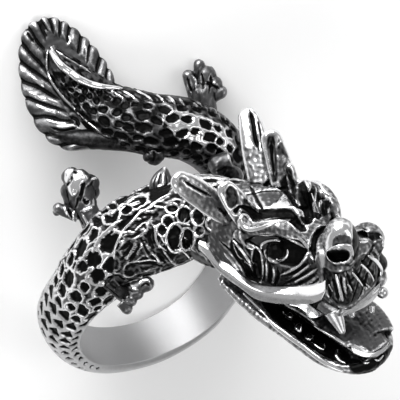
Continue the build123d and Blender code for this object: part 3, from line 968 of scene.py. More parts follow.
def ring_scale(r, middle, size):
    """Sink one scale and raise its rim."""
    turns = np.linspace(0, 2 * math.pi, RING_STEPS + 1)
    rim = [(middle[0] + size[0] * math.cos(t), middle[1] + size[1] * math.sin(t)) for t in turns]
    r.patch(1.0, 0.05, -0.30, rim[:-1], feather=1.8)
    wider = [(middle[0] + 1.22 * (x - middle[0]), middle[1] + 1.16 * (y - middle[1])) for x, y in rim]
    r.stroke(0.12, 0.14, -0.8, wider)


def flank_weight(r):
    """Where the feathered flank takes the place of the pressed scales."""
    facing = smoothstep(-0.05, 0.2, r.normals @ VIEW_BACK)
    return facing * inside_outline(shown_at(r.points), np.array(FLANK, float), 2.0)


def make_neck():
    rows = body_rows()
    rows = rows[rows[:, TURN] <= TAIL_END_TURN + NECK_OVERLAP][:-3]
    span = BodySpan("neck", rows,
                    lambda r: np.where(r[:, TURN] > NECK_SCALE_TURN, NECK_BARE_STEP, FINE_STEP),
                    NECK_AROUND, NECK_COLUMNS, seed=7, tuck_turns=(TAIL_END_TURN, TAIL_END_TURN + 10))
    depth = bpy.context.scene.dragon_body.scale_depth
    head_turn = BODY_SECTIONS[-1][0] - 1.2 * HEAD_ROW_TURN
    r = span.relief
    band = smoothstep(-216, -204, span.turn)
    shown = smoothstep(NECK_SCALE_TURN, NECK_SCALE_TURN - 12, span.turn) * smoothstep(0.12, 0.6, span.wall)
    inside_head = smoothstep(head_turn, head_turn - 8, span.turn)
    r.polish[:] = 0.16 + 0.44 * band
    r.ink[:] = 0.26 * (1 - band) * (1 + waves(r.points, 1.4, 41))
    size = 0.385 + 0.015 * band - 0.17 * smoothstep(-196, -142, span.turn)
    span.press_scales(depth, size, 0.85 * band, shown * (1 - inside_head), 0.40 * (1 - band),
                      1 - 0.72 * band)
    r.lift += depth * 0.8 * flank_weight(r) * np.minimum(r.ink, 1)
    r.patch(0.42, 0.16, 0.0, FLANK, reach=6.0, feather=2.0)
    r.strokes(NECK_LINES)
    for u, v, wide, high in RINGED_SCALES:
        ring_scale(r, (u, v), (wide, high))
    r.lift -= 0.35 * inside_head
    rough = (1 - 0.6 * band) * smoothstep(-140, -160, span.turn) * smoothstep(0.2, 0.8, span.wall)
    r.roughen(0.030, 0.7, 6, rough)
    r.apply()
    antiqued(span.piece, r, span.satin(band), rubbed_and_sheen=0.75)
    beads("neck_ridges", NECK_BEADS, r, polish=0.85)


# Tail fan

FAN_ROOT = np.array([-0.1, 10.5, 12.1])
FAN_BANK = 6.0
# along, left, up, wide, thick
FAN_SECTIONS = [
    (0.02, 0.10, 0.02, 0.16, 1.10),
    (0.09, 0.13, 0.01, 0.50, 1.20),
    (0.19, 0.165, 0.00, 0.80, 1.15),
    (0.34, 0.18, 0.03, 0.95, 1.10),
    (0.52, 0.18, 0.10, 0.96, 1.00),
    (0.71, 0.18, 0.18, 0.84, 1.00),
    (0.86, 0.18, 0.25, 0.63, 0.95),
    (0.95, 0.18, 0.295, 0.42, 0.90),
    (1.00, 0.18, 0.315, 0.20, 0.75),
]
FAN_THICKNESS = 1.1
FAN_STEP = 0.10             # millimetres between the rings of its sweep
FAN_AROUND = 280
# Each side's ribs: where they start beside the tail and where they end on the rim
FAN_SIDES = [
    ([(106, 140), (84, 127), (68, 112), (55, 92), (46, 72), (47, 47)],
     [(66, 148), (38, 130), (23, 104), (18, 76), (19, 48), (32, 24)]),
    ([(122, 88), (106, 80), (90, 68), (74, 54), (60, 45), (49, 42)],
     [(118, 84), (111, 60), (99, 40), (82, 26), (60, 15), (34, 20)]),
]
RIB_STEPS = 24              # lines laid across each rib's width
RIB_SWAY = 0.13             # how far a rib wanders, as a share of its width
# half width, height, ink above 0 or polish below 0, then lines of places
FAN_LINES = [
    (0.16, 0.30, -1.0, [(47, 71), (50, 79), (55, 87), (64, 98), (73, 107), (79, 114)]),
    (0.14, 0.20, -0.5, [(79, 114), (89, 123), (99, 131)]),
    (0.14, 0.16, -0.4, [(46, 70), (46, 58), (47, 49)]),
    (0.16, 0.10, -0.9, [(31, 76), (36, 80), (43, 86)]),
    (0.18, 0.10, -1.0, [(27, 91), (37, 97), (48, 100)], [(36, 104), (46, 109), (58, 112)]),
    (0.16, 0.10, -0.7, [(46, 119), (56, 122), (68, 122)]),
    (0.14, 0.08, -0.6, [(66, 45), (69, 40), (67, 33)], [(85, 62), (86, 52), (84, 44)]),
    (0.16, -0.16, 1.0, [(69, 116), (76, 119), (78, 126)]),
    (0.14, -0.12, 0.8, [(50, 127), (62, 130), (76, 127)]),
    (0.14, -0.12, 0.7, [(26, 31), (30, 37), (33, 41)]),
]


def fan_axes():
    """The fan's forward, left and up directions in the finger's frame."""
    bank = math.radians(FAN_BANK)
    forward = np.array([0.0, 1.0, 0.0])
    left = np.array([-math.cos(bank), 0.0, -math.sin(bank)])
    return forward, left, np.cross(forward, left)


def fan_sweep():
    """Points and faces of the fan before its ribs, and the middle of its centre line."""
    forward, left, up = fan_axes()
    rows = []
    for along, side, rise, wide, thick in FAN_SECTIONS:
        centre = FAN_ROOT + forward * along * FAN_LENGTH + left * side * FAN_WIDTH + up * rise * FAN_LENGTH
        rows.append((*centre, wide * FAN_WIDTH / 2, thick * FAN_THICKNESS / 2))
    rows = evenly(rows, lambda r: np.full(len(r), FAN_STEP))
    points, faces = tube(rows[:, :3], left, rows[:, 3], rows[:, 4], 0.0, FAN_AROUND)
    return points, faces, rows[:, :3].mean(0)


def on_plane(place, centre, normal):
    """The point of a plane that shows at a place of the photograph."""
    start = seen_at(place)
    return start + VIEW_BACK * ((centre - start) @ normal) / (VIEW_BACK @ normal)


def ribs_at(points, middle):
    """For each point of the fan, the rib that it lies on, counted from the root, and the share along it."""
    forward, left, up = fan_axes()
    steps = RIB_STEPS * bpy.context.scene.dragon_body.rib_count
    flat = np.stack([points @ left, points @ forward], axis=1)
    best = np.full(len(points), FAR)
    rib = np.zeros(len(points))
    share = np.zeros(len(points))
    for roots, rim in FAN_SIDES:
        starts = smooth_rows([on_plane(p, middle, up) for p in roots], steps)
        ends = smooth_rows([on_plane(p, middle, up) for p in rim], steps)
        for k in range(steps):
            a = np.array([starts[k] @ left, starts[k] @ forward])
            step = np.array([ends[k] @ left, ends[k] @ forward]) - a
            t = np.clip((flat - a) @ step / max(step @ step, 1e-9), -0.4, 1.4)
            gap = np.linalg.norm(flat - a - t[:, None] * step, axis=1)
            closer = gap < best
            best = np.where(closer, gap, best)
            rib = np.where(closer, k / RIB_STEPS, rib)
            share = np.where(closer, t, share)
    return rib, share


def make_fan():
    points, faces, middle = fan_sweep()
    piece = mesh_piece("tail_fan", points, faces)
    r = Relief(piece, 0.16)
    rib, share = ribs_at(points, middle)
    wave = np.abs(np.sin(math.pi * (rib + RIB_SWAY * waves(points, 3.0, 21))))
    shown = smoothstep(-0.05, 0.12, share) * smoothstep(1.06, 0.90, share)
    groove = smoothstep(0.62, 0.10, wave)
    facing = smoothstep(-0.05, 0.3, r.normals @ fan_axes()[2])
    r.lift += shown * bpy.context.scene.dragon_body.rib_height * (wave ** 0.8 - 0.6)
    r.ink = np.maximum(r.ink, shown * groove * 0.62)
    r.polish += shown * (0.12 * smoothstep(0.6, 0.95, wave) - 0.15 * groove)
    r.ink += 0.22 * (1 + waves(r.points, 2.2, 22)) * facing
    r.ink *= 0.5 + 0.5 * facing
    r.strokes(FAN_LINES)
    r.roughen(0.02, 0.8, 9)
    r.apply()
    antiqued(piece, r, rubbed_and_sheen=0.6)


# Head

# fore, side, up, then the section's share of the ridge's own width and thickness
BROW_LINE = [
    (0.735, 0.58, 0.33, 0.35, 0.40),
    (0.68, 0.72, 0.47, 0.80, 0.80),
    (0.60, 0.82, 0.55, 1.00, 0.95),
    (0.52, 0.86, 0.50, 1.05, 1.00),
    (0.44, 0.88, 0.45, 1.00, 1.00),
    (0.385, 0.92, 0.52, 0.80, 0.85),
    (0.355, 0.96, 0.62, 0.45, 0.50),
]
BROW_END_LINE = [
    (0.44, 0.88, 0.42, 0.90, 0.90),
    (0.38, 0.98, 0.30, 0.85, 0.85),
    (0.40, 1.02, 0.12, 0.70, 0.70),
    (0.47, 1.00, 0.00, 0.45, 0.45),
]
HORN_LINE = [
    (0.34, 0.40, 0.26, 1.05, 1.10),
    (0.26, 0.74, 0.50, 1.05, 1.10),
    (0.19, 1.02, 0.70, 1.02, 1.00),
    (0.13, 1.28, 0.90, 0.95, 0.95),
    (0.095, 1.42, 1.01, 0.75, 0.80),
]
EAR_LINE = [
    (0.45, 0.52, 0.34, 1.05, 1.10),
    (0.39, 0.76, 0.58, 1.05, 1.10),
    (0.35, 0.90, 0.80, 1.00, 1.00),
    (0.315, 0.98, 0.98, 0.80, 0.80),
]
# How far the left and the right one's tip leans from the line, in the head's shares: fore, up
HORN_LEAN = ((-0.012, -0.060), (0.015, -0.060))
EAR_LEAN = ((-0.033, -0.027), (0.0, -0.114))
HORN_FACE_LEFT = (0.77, 0.61, 0.09)
HORN_FACE_RIGHT = (0.20, 0.60, 0.57)
HORN_WIDTH = 2.3
HORN_THICKNESS = 1.3
EAR_WIDTH = 2.1
RIM_RADIUS = 0.27
BROW_THICKNESS = 1.6
EYE_RADIUS = 1.3
NOSE_RADIUS = 1.9
HEAD_VOXEL = 0.116          # millimetres, since a finer one gives the head too many triangles
EYE = (0.575, 0.80, 0.22)   # fore, side, up in the head's shares
# Spikes and a ball: each end in the head's shares, then radii in millimetres
NOSE_BRIDGE = (0.90, -0.42, 0.40, 0.905, 0.46, 0.25, 1.75, 1.6)
CHEEK = (0.87, 0.74, 0.06, 0.93, 0.92, -0.28, 0.95, 1.15)
LIP_CORNER = (0.92, 0.80, -0.33, 1.0)
# fore, side, up in the head's shares and how tall to its radius
NOSE_BALLS = [
    (0.900, -0.47, 0.51, 1.40),
    (0.915, 0.47, 0.24, 1.10),
]
# fore, side, up, fore, side, up, radius, share of the radius at the tip
MANE_SPIKES = [
    (0.51, 0.49, 0.40, 0.428, 0.66, 0.86, 0.62, 0.80),
    (0.57, 0.44, 0.34, 0.540, 0.55, 0.74, 1.30, 0.78),
    (0.68, 0.46, 0.34, 0.655, 0.51, 0.60, 0.52, 0.80),
    (0.16, 0.10, 0.38, 0.09, 0.10, 0.50, 0.80, 0.50),
]


def leaning(line, lean):
    """The line with its tip moved fore and up, and the rest less."""
    last = len(line) - 1
    return [(f + lean[0] * i / last, s, u + lean[1] * i / last, wide, thick)
            for i, (f, s, u, wide, thick) in enumerate(line)]


def ridge_points(line, hand):
    return np.array([in_head(f, s * hand, u) for f, s, u, _, _ in line])


def ridge(name, line, width, thickness, hand, flat_to, around=20):
    """A swept ridge of the head; hand is 1 on its left side and -1 on its right side."""
    rows = np.column_stack([ridge_points(line, hand), [row[3] * width / 2 for row in line],
                            [row[4] * thickness / 2 for row in line]])
    rows = smooth_rows(rows, 8 * len(line))
    points, faces = tube(rows[:, :3], flat_to, rows[:, 3], rows[:, 4], 0.0, around)
    return mesh_piece(name, points, faces)


def blade_shape(line, width, thickness, hand, face):
    """The middle line of a flat horn or ear and the path of its rim, round the tip."""
    centres = ridge_points(line, hand)
    wide = np.array([row[3] * width / 2 for row in line])
    thick = np.array([row[4] * thickness / 2 for row in line])
    rows = smooth_rows(np.column_stack([centres, wide, thick]), 8 * len(line))
    forward = unit(np.gradient(rows[:, :3], axis=0))
    face = unit(face)
    x = unit(face - forward * (forward @ face)[:, None])
    edge = rows[:, 3] - 0.5 * RIM_RADIUS
    left, right = rows[:, :3] + x * edge[:, None], rows[:, :3] - x * edge[:, None]
    half = math.pi * np.linspace(0.06, 0.94, 11)[:, None]
    tip = rows[-1, :3] + x[-1] * edge[-1] * np.cos(half) + forward[-1] * edge[-1] * np.sin(half)
    return rows, forward, np.concatenate([left, tip, right[::-1]])


def flat_blade(name, line, width, thickness, hand, face):
    """A flat horn or ear with a rounded tip, before its rim is raised."""
    rows, forward, _ = blade_shape(line, width, thickness, hand, face)
    length = rows[-1, 3]
    half = np.linspace(0, 0.5 * math.pi, 9)[1:, None]
    cap = np.repeat(rows[-1:], 8, axis=0)
    cap[:, :3] += forward[-1] * length * np.sin(half)
    cap[:, 3:4] *= np.maximum(np.cos(half), 0.06)
    cap[:, 4:5] *= 0.35 + 0.65 * np.cos(half)
    rows = np.concatenate([rows, cap])
    points, faces = tube(rows[:, :3], face, rows[:, 3], rows[:, 4], 0.45, 28)
    return mesh_piece(name, points, faces)


def spike(name, base, tip, base_radius, tip_radius, around=24):
    """A tapered round spike with a domed end."""
    base, tip = np.asarray(base, float), np.asarray(tip, float)
    t = np.linspace(0, 1, 22)
    length = np.linalg.norm(tip - base)
    radius = base_radius + (tip_radius - base_radius) * t
    left = (1 - t) * length / tip_radius
    radius = radius * np.where(left < 1, np.sqrt(np.maximum(1 - (1 - left) ** 2, 0.0004)), 1)
    centres = base + (tip - base) * t[:, None]
    helper = np.array([0.3, 0.8, 0.2])
    points, faces = tube(centres, helper, radius, radius, 0.0, around)
    return mesh_piece(name, points, faces)


def skull():
    rows = body_rows()[len(BODY_SECTIONS) - 1:]
    rows = smooth_rows(rows, 70)
    keep = to_head(rows[:, :3])[:, 0] > 0.04 * HEAD_LENGTH
    rows = rows[keep]
    fore = to_head(rows[:, :3])[:, 0] / HEAD_LENGTH
    shrink = 1 - 0.10 * smoothstep(0.26, 0.08, fore)
    blunt = np.linspace(0, 1, 8)[1:, None]
    nose = rows[-1:] + np.concatenate([HEAD_AXES[0] * 1.0, np.zeros(7)]) * blunt
    nose[:, 6:8] *= np.sqrt(1 - 0.75 * blunt ** 2)
    shrink = np.concatenate([shrink, np.ones(len(nose))])
    rows = np.concatenate([rows, nose])
    points, faces = tube(rows[:, :3], rows[:, 3:6], rows[:, 6] * shrink, rows[:, 7] * shrink,
                         rows[:, 8], 64)
    return mesh_piece("skull", points, faces)


def head_side(hand):
    """Brow, horn, ear and eye of one side, and the paths of its horn's and ear's rims."""
    left = HEAD_AXES[1]
    face = np.array(HORN_FACE_LEFT if hand > 0 else HORN_FACE_RIGHT) @ HEAD_AXES
    pieces = [
        ridge("brow", BROW_LINE, BROW_THICKNESS, BROW_THICKNESS, hand, left),
        ridge("brow_end", BROW_END_LINE, 0.8 * BROW_THICKNESS, BROW_THICKNESS, hand, left),
    ]
    rims = []
    for whole, lean, width in ((HORN_LINE, HORN_LEAN, HORN_WIDTH), (EAR_LINE, EAR_LEAN, EAR_WIDTH)):
        line = leaning(whole, lean[0 if hand > 0 else 1])
        pieces.append(flat_blade("blade", line, width, HORN_THICKNESS, hand, face))
        rims.append(blade_shape(line, width, HORN_THICKNESS, hand, face)[2])
    pieces.append(ball(in_head(EYE[0], EYE[1] * hand, EYE[2]), EYE_RADIUS))
    return pieces, rims


def make_head():
    pieces = [skull()]
    rims = []
    for hand in (1, -1):
        side_pieces, side_rims = head_side(hand)
        pieces += side_pieces
        rims += side_rims
    pieces.append(spike("cheek", in_head(*CHEEK[0:3]), in_head(*CHEEK[3:6]), *CHEEK[6:8]))
    for fore, side, rise, tall in NOSE_BALLS:
        pieces.append(ball(in_head(fore, side, rise), NOSE_RADIUS, (0.95, 0.92, tall)))
    pieces.append(spike("nose_bridge", in_head(*NOSE_BRIDGE[0:3]), in_head(*NOSE_BRIDGE[3:6]),
                        *NOSE_BRIDGE[6:8]))
    pieces.append(ball(in_head(*LIP_CORNER[0:3]), LIP_CORNER[3]))
    for row in MANE_SPIKES:
        pieces.append(spike("mane", in_head(*row[0:3]), in_head(*row[3:6]), row[6], row[7] * row[6]))
    head = cast_together("head", pieces, HEAD_VOXEL, rounds=2)
    r = Relief(head, 0.12)
    carve_head(r, rims)
    r.apply()
    antiqued(head, r)
    beads("head_ridges", HEAD_BEADS, r, mirror=True)
    beads("nose_ridges", NOSE_BEADS, r)


# The face as it shows in the photograph. Areas: how black, how polished (some rows paint a highlight),
# height in millimetres
FACE_AREAS = [
    (0.20, 0.22, 0.10, [(232, 181), (252, 183), (280, 189), (296, 193), (309, 226), (299, 219),
                        (289, 211), (268, 212), (254, 208), (246, 198)]),
    (0.0, 1.0, 0.06, [(279, 202), (286, 195), (296, 199), (300, 207), (299, 213), (289, 210), (279, 209)]),
    (1.0, 0.0, -0.32, [(233, 211), (240, 206), (250, 207), (262, 210), (280, 209), (291, 211),
                       (300, 220), (306, 229), (299, 230), (291, 220), (279, 217), (265, 218),
                       (256, 219), (248, 212), (241, 208), (236, 214)]),
    (0.30, 0.12, 0.0, [(239, 222), (244, 230), (262, 229), (280, 224), (292, 229), (300, 236),
                        (299, 241), (288, 236), (272, 233), (256, 236), (246, 240)]),
    (1.0, 0.0, -0.40, [(247, 241), (258, 236), (272, 235), (287, 239), (300, 242), (304, 252),
                       (298, 264), (288, 266), (276, 262), (264, 256), (259, 249)]),
    (1.0, 0.35, 0.0, [(264, 250), (266, 244), (273, 241), (280, 244), (283, 250), (281, 256),
                      (274, 259), (267, 256)]),
    (1.0, 0.0, -0.15, [(233, 238), (243, 249), (252, 262), (258, 282), (250, 281), (240, 266),
                       (230, 250)]),
    (0.9, 0.0, -0.30, [(254, 249), (259, 254), (261, 268), (260, 281), (255, 278), (253, 262)]),
    (0.45, 0.15, 0.0, [(262, 256), (280, 266), (300, 262), (312, 258), (318, 272), (304, 284),
                       (270, 288), (262, 272)]),
    (0.50, 0.05, -0.1, [(322, 268), (334, 272), (350, 268), (362, 254), (378, 262), (382, 276),
                       (368, 292), (342, 306), (326, 292)]),
    (0.05, 0.30, 0.0, [(314, 250), (316, 236), (326, 226), (340, 220), (352, 224), (354, 240),
                       (351, 250), (340, 246), (326, 250), (322, 262), (316, 262)]),
    # Painted highlights: polished facets and a paler patch on the near nose bulb, where the light catches
    # it
    (0.0, 1.0, 0.03, [(324, 250), (328, 235), (334, 233), (329, 249)]),
    (0.0, 1.0, 0.03, [(331, 230), (344, 223), (348, 226), (345, 231), (335, 234)]),
    (0.0, 1.0, 0.03, [(345, 232), (351, 230), (352, 239), (348, 241)]),
    (0.0, 0.7, 0.0, [(319, 250), (324, 252), (323, 265), (320, 264)]),
    (0.35, 0.0, -0.03, [(335, 236), (349, 236), (349, 245), (332, 246)]),
    (0.25, 0.20, 0.0, [(356, 222), (372, 222), (382, 232), (383, 246), (376, 252), (366, 246), (356, 250)]),
    (0.6, 0.1, -0.1, [(352, 226), (357, 226), (357, 256), (352, 258)]),
    (0.2, 0.3, 0.0, [(175, 186), (184, 180), (210, 196), (220, 204), (204, 206), (186, 200)]),
    (0.5, 0.15, -0.1, [(226, 192), (230, 186), (236, 190), (238, 202), (232, 208), (227, 204)]),
    # Painted highlight: the left half of the far horn, polished white where the light catches it
    (0.0, 1.0, 0.0, [(240, 118), (247, 110), (249, 128), (252, 147), (245, 145), (240, 134)]),
    (0.5, 0.15, -0.1, [(267, 140), (271, 136), (275, 142), (277, 178), (270, 180), (267, 160)]),
    (0.9, 0.05, -0.3, [(297, 184), (302, 180), (308, 190), (314, 214), (308, 222), (300, 206)]),
    (0.6, 0.1, 0.0, [(284, 164), (290, 168), (300, 196), (296, 200), (288, 182)]),
    (0.7, 0.1, 0.0, [(321, 198), (325, 199), (328, 213), (322, 215)]),
]
# half width, height, ink above 0 or polish below 0, then lines of places
FACE_GROOVES = [
    (0.16, -0.24, 1.0, [(241, 186), (247, 200), (253, 210)], [(250, 186), (257, 201), (264, 212)]),
    (0.14, -0.20, 1.0, [(184, 181), (197, 189), (211, 196)]),
    (0.13, -0.20, 1.0, [(226, 237), (237, 250), (247, 267), (250, 280)],
     [(233, 236), (242, 246), (250, 258), (256, 274)]),
    (0.12, -0.16, 0.9, [(219, 240), (231, 252), (240, 264), (246, 276)]),
    (0.12, -0.18, 0.9, [(263, 258), (264, 270), (262, 282)], [(269, 262), (270, 272), (269, 284)],
     [(277, 268), (278, 276), (275, 285)], [(284, 276), (296, 271), (308, 262)],
     [(283, 284), (297, 278), (311, 269)], [(296, 286), (306, 280), (316, 273)],
     [(306, 287), (313, 283), (319, 277)]),
    (0.24, -0.36, 1.0, [(325, 226), (317, 233), (313, 242), (312, 251), (314, 262)]),
    (0.16, -0.24, 1.0, [(306, 238), (305, 250), (300, 260)]),
    (0.22, -0.34, 1.0, [(250, 110), (253, 122), (255, 136), (259, 150)]),
    (0.20, -0.26, 0.9, [(271, 142), (271, 158), (273, 176)]),
    (0.15, -0.22, 1.0, [(287, 172), (294, 186), (300, 200)], [(299, 190), (304, 204), (310, 218)]),
    (0.15, -0.24, 1.0, [(326, 278), (328, 288), (329, 298)]),
    (0.18, -0.30, 1.0, [(331, 277), (334, 288), (337, 301)]),
    (0.15, -0.26, 1.0, [(340, 275), (341, 287), (345, 299)], [(346, 272), (350, 282), (354, 294)]),
    (0.20, -0.32, 1.0, [(352, 267), (359, 276), (367, 287)], [(361, 259), (369, 268), (376, 281)]),
    (0.18, -0.24, 1.0, [(369, 250), (375, 256), (381, 266)]),
]
FACE_RIDGES = [
    (0.18, 0.20, -0.45, [(308, 249), (305, 257), (298, 265), (289, 271), (280, 275)]),
    (0.15, 0.18, -0.40, [(317, 268), (308, 274), (299, 279), (292, 284)]),
    (0.13, 0.16, -0.35, [(310, 264), (301, 271), (291, 278)]),
    (0.16, 0.20, -0.45, [(260, 254), (263, 262), (263, 274), (260, 281)]),
    (0.14, 0.18, -0.35, [(266, 260), (267, 272), (266, 281)]),
    (0.14, 0.16, -0.35, [(273, 266), (274, 275), (272, 284)]),
    (0.13, 0.16, -0.50, [(343, 276), (344, 287), (346, 294)]),
    (0.18, 0.16, -0.30, [(269, 211), (282, 210), (292, 211), (299, 218), (306, 226)]),
    (0.14, 0.20, -0.50, [(239, 214), (239, 226), (240, 235), (244, 244), (250, 248), (256, 250)]),
    (0.15, 0.16, -0.30, [(223, 252), (233, 262), (240, 272)]),
]
HEAD_BEADS = [
    (0.27, [(243, 215), (240, 219), (243, 226), (249, 229), (258, 228), (268, 225), (277, 222)]),
    (0.17, [(240, 214), (246, 215), (251, 221), (258, 223), (268, 222), (279, 221), (286, 222.5),
            (292, 226.5), (296, 231.5)]),
    (0.15, [(233, 240), (238, 246), (245, 255), (250, 263), (253, 272)]),
    (0.20, [(261, 249), (262, 244), (267, 241), (273, 240), (280, 241)]),
    (0.18, [(287, 249), (287, 254), (285, 257), (281, 260), (276, 259)]),
]
NOSE_BEADS = [
    (0.10, [(329, 225), (320, 226), (312, 233), (308, 243), (308, 252)]),
    (0.13, [(324, 252), (330, 248), (339, 245), (348, 245), (351, 250), (352, 256)]),
    (0.17, [(335, 274), (338, 285), (342, 301)]),
    (0.13, [(351, 272), (356, 278), (362, 286)]),
    (0.20, [(360, 264), (366, 270), (373, 281)]),
    (0.24, [(367, 255), (374, 260), (380, 268), (380, 276)]),
    (0.10, [(347, 284), (349, 287), (351, 291)]),
    (0.10, [(328, 284), (330, 287), (332, 291)]),
    (0.12, [(359, 242), (363, 242), (367, 241)]),
    (0.14, [(379, 236), (382, 241), (382, 247)]),
    (0.10, [(311, 193), (315, 204), (319, 214)]),
]
# Places along a nostril, its half width and its depth in millimetres
NOSTRILS = [
    ([(332, 257), (336, 256), (341, 256)], 0.72, 1.3),
    ([(360, 234), (364, 233.5)], 0.44, 0.8),
]


def carve_head(r, rims):
    """The face's areas, grooves and ridges, the rims of horns and ears, and the nostrils."""
    r.patches(FACE_AREAS, mirror=True)
    r.strokes(FACE_GROOVES + FACE_RIDGES, mirror=True)
    for rim in rims:
        r.trace(0.30, 0.24, -0.95, rim)
    for places, half_width, depth in NOSTRILS:
        r.dent(places, half_width, depth)
    r.roughen(height=0.035, size=0.6, seed=11, weight=1 - r.polish)


# Lower jaw

# fore, down, wide, high
JAW_SECTIONS = [
    (0.24, 0.38, 0.90, 0.80),
    (0.45, 0.67, 0.86, 0.50),
    (0.64, 0.85, 0.84, 0.46),
    (0.83, 1.04, 0.80, 0.48),
    (0.97, 1.12, 0.70, 0.48),
    (1.050, 1.12, 0.40, 0.42),
]
JAW_RIM_LINE = [
    (0.26, 0.90, -0.43, 0.80, 0.90),
    (0.45, 0.94, -0.66, 1.00, 1.00),
    (0.64, 0.92, -0.83, 1.05, 1.00),
    (0.83, 0.85, -1.025, 1.10, 1.00),
    (0.97, 0.64, -1.09, 1.15, 1.05),
    (1.045, 0.32, -1.06, 1.50, 1.10),
    (1.06, -0.06, -1.04, 1.60, 1.10),
]
FAR_RIM_LINE = [
    (0.30, 0.90, -0.43, 0.80, 0.90),
    (0.48, 0.96, -0.62, 1.00, 1.00),
    (0.66, 0.98, -0.76, 1.10, 1.05),
    (0.83, 0.93, -0.87, 1.20, 1.15),
    (0.92, 0.82, -0.93, 1.25, 1.25),
    (0.99, 0.64, -0.99, 1.40, 1.25),
    (1.04, 0.36, -1.03, 1.60, 1.20),
    (1.06, -0.06, -1.04, 1.60, 1.10),
]
TONGUE_LINE = [
    (0.36, 0.0, -0.46, 0.90, 1.00),
    (0.55, 0.0, -0.60, 1.05, 1.10),
    (0.75, 0.0, -0.735, 1.15, 1.10),
    (0.90, 0.0, -0.84, 1.15, 1.00),
    (0.99, 0.0, -0.91, 1.05, 0.90),
    (1.05, 0.0, -0.960, 0.70, 0.80),
]
TONGUE_FAR_LINE = [
    (0.52, 0.44, -0.60, 0.90, 0.90),
    (0.70, 0.50, -0.71, 1.20, 1.00),
    (0.84, 0.50, -0.79, 1.25, 1.10),
    (0.92, 0.42, -0.85, 1.20, 1.00),
    (0.99, 0.30, -0.90, 1.00, 0.90),
]
# Lower teeth: base and tip on the photograph, radius in millimetres
LOWER_TEETH = [
    ((288, 319), (291, 312), 0.42),
    ((297, 331), (300, 323), 0.45),
    ((308, 341), (311, 333), 0.48),
    ((320, 351), (322, 343), 0.48),
    ((341, 362), (337, 351), 0.52),
]
JAW_LINES = [
    (0.16, -0.18, 1.0, [(262, 308), (276, 322), (292, 336), (310, 349), (330, 360)]),
    (0.14, 0.20, -0.6, [(314, 324), (323, 331), (335, 338), (345, 345)]),
    (0.16, -0.20, 1.0, [(352, 358), (364, 361), (376, 358), (388, 350)],
     [(346, 347), (358, 349), (368, 353)]),
]
JAW_BEADS = [
    (0.30, [(243, 293), (252, 301.5), (263.6, 313), (275, 325), (289, 336), (303, 346), (318, 357.5),
            (330, 365.5), (343, 371)]),
    (0.16, [(313, 325), (323, 331), (335, 338), (345, 344)]),
    (0.12, [(283, 311), (285, 315), (290, 317), (295, 315)]),
    (0.14, [(293, 322), (296, 328), (300, 331), (301, 326)]),
    (0.13, [(304, 334), (306, 338), (310, 339), (314, 335)]),
    (0.13, [(313, 343), (318, 347), (323, 349), (324, 343)]),
    (0.20, [(337, 349), (336, 355), (339, 360), (345, 363)]),
    (0.10, [(360, 360), (364, 363), (369, 362)]),
    (0.10, [(374, 359), (378, 360), (383, 355)]),
]
JAW_DEPTH = 2.6
JAW_WIDTH = 9.2
JAW_RIM_HEIGHT = 0.9
JAW_RIM_THICKNESS = 0.9
TONGUE_WIDTH = 4.2
TONGUE_THICKNESS = 1.4
JAW_VOXEL = 0.10
JAW_LIP_PROUD = 0.15        # the lower lip's plate before the jaw, in millimetres
TEETH_LEVEL = (0.75, -0.62, -0.86)     # a point of the head's shares as deep as the lower teeth
# How black, how polished, height in millimetres, outline of the area on the photograph
JAW_AREAS = [
    (1.0, 0.0, -0.10, [(262, 300), (280, 306), (300, 314), (318, 328), (340, 346), (350, 356),
                       (344, 364), (320, 352), (296, 336), (272, 316)]),
    (0.30, 0.20, 0.0, [(322, 322), (346, 310), (376, 306), (392, 326), (388, 340), (372, 347),
                       (356, 345), (340, 338)]),
]
JAW_FRONT = (0.75, 0.05, -0.05, [(350, 358), (372, 361), (392, 345), (388, 360), (370, 372),
                                 (352, 372)])


def at_depth(place, point):
    """The point that shows at a place of the photograph and lies as deep as another point."""
    return seen_at(place) + VIEW_BACK * (point @ VIEW_BACK)


def lower_teeth():
    """The teeth of the near row, and as they are mirrored on the far side."""
    level = in_head(*TEETH_LEVEL)
    teeth = []
    for foot, tip, radius in LOWER_TEETH:
        ends = np.array([at_depth(foot, level), at_depth(tip, level)])
        for root, point in (ends, mirrored(ends)):
            teeth.append(spike("tooth", root, point, radius, 0.6 * radius, 14))
    return teeth


def make_jaw():
    left, up = HEAD_AXES[1], HEAD_AXES[2]
    rows = np.array([(*in_head(f, 0, -d), w * JAW_WIDTH / 2, h * JAW_DEPTH / 2)
                     for f, d, w, h in JAW_SECTIONS])
    rows = smooth_rows(rows, 50)
    points, faces = tube(rows[:, :3], left, rows[:, 3], rows[:, 4], 0.3, 48)
    pieces = [mesh_piece("jaw_floor", points, faces)]
    for line in (TONGUE_LINE, TONGUE_FAR_LINE):
        pieces.append(ridge("tongue", line, TONGUE_WIDTH, TONGUE_THICKNESS, 1, left))
    for hand, line in ((1, FAR_RIM_LINE), (-1, JAW_RIM_LINE)):
        pieces.append(ridge("jaw_rim", line, JAW_RIM_HEIGHT, JAW_RIM_THICKNESS, hand, up))
    jaw = cast_together("lower_jaw", pieces + lower_teeth(), JAW_VOXEL, rounds=1)
    r = Relief(jaw, 0.15)
    r.patches(JAW_AREAS, reach=4.0)
    r.patch(*JAW_FRONT)
    r.strokes(JAW_LINES)
    r.roughen(height=0.035, size=0.6, seed=13, weight=1 - r.polish)
    r.apply()
    antiqued(jaw, r)
    beads("jaw_ridges", JAW_BEADS, r)
    deepest = max(r.under(crest) @ VIEW_BACK for _, crest, _ in JAW_LIP_ROWS)
    depths = [deepest + JAW_LIP_PROUD] * len(JAW_LIP_ROWS)
    facet_band("lower_lip", JAW_LIP_ROWS, depths, proud=0.25, thick=2.4)


# Whisker bands, lips and upper teeth, crisp polished facets

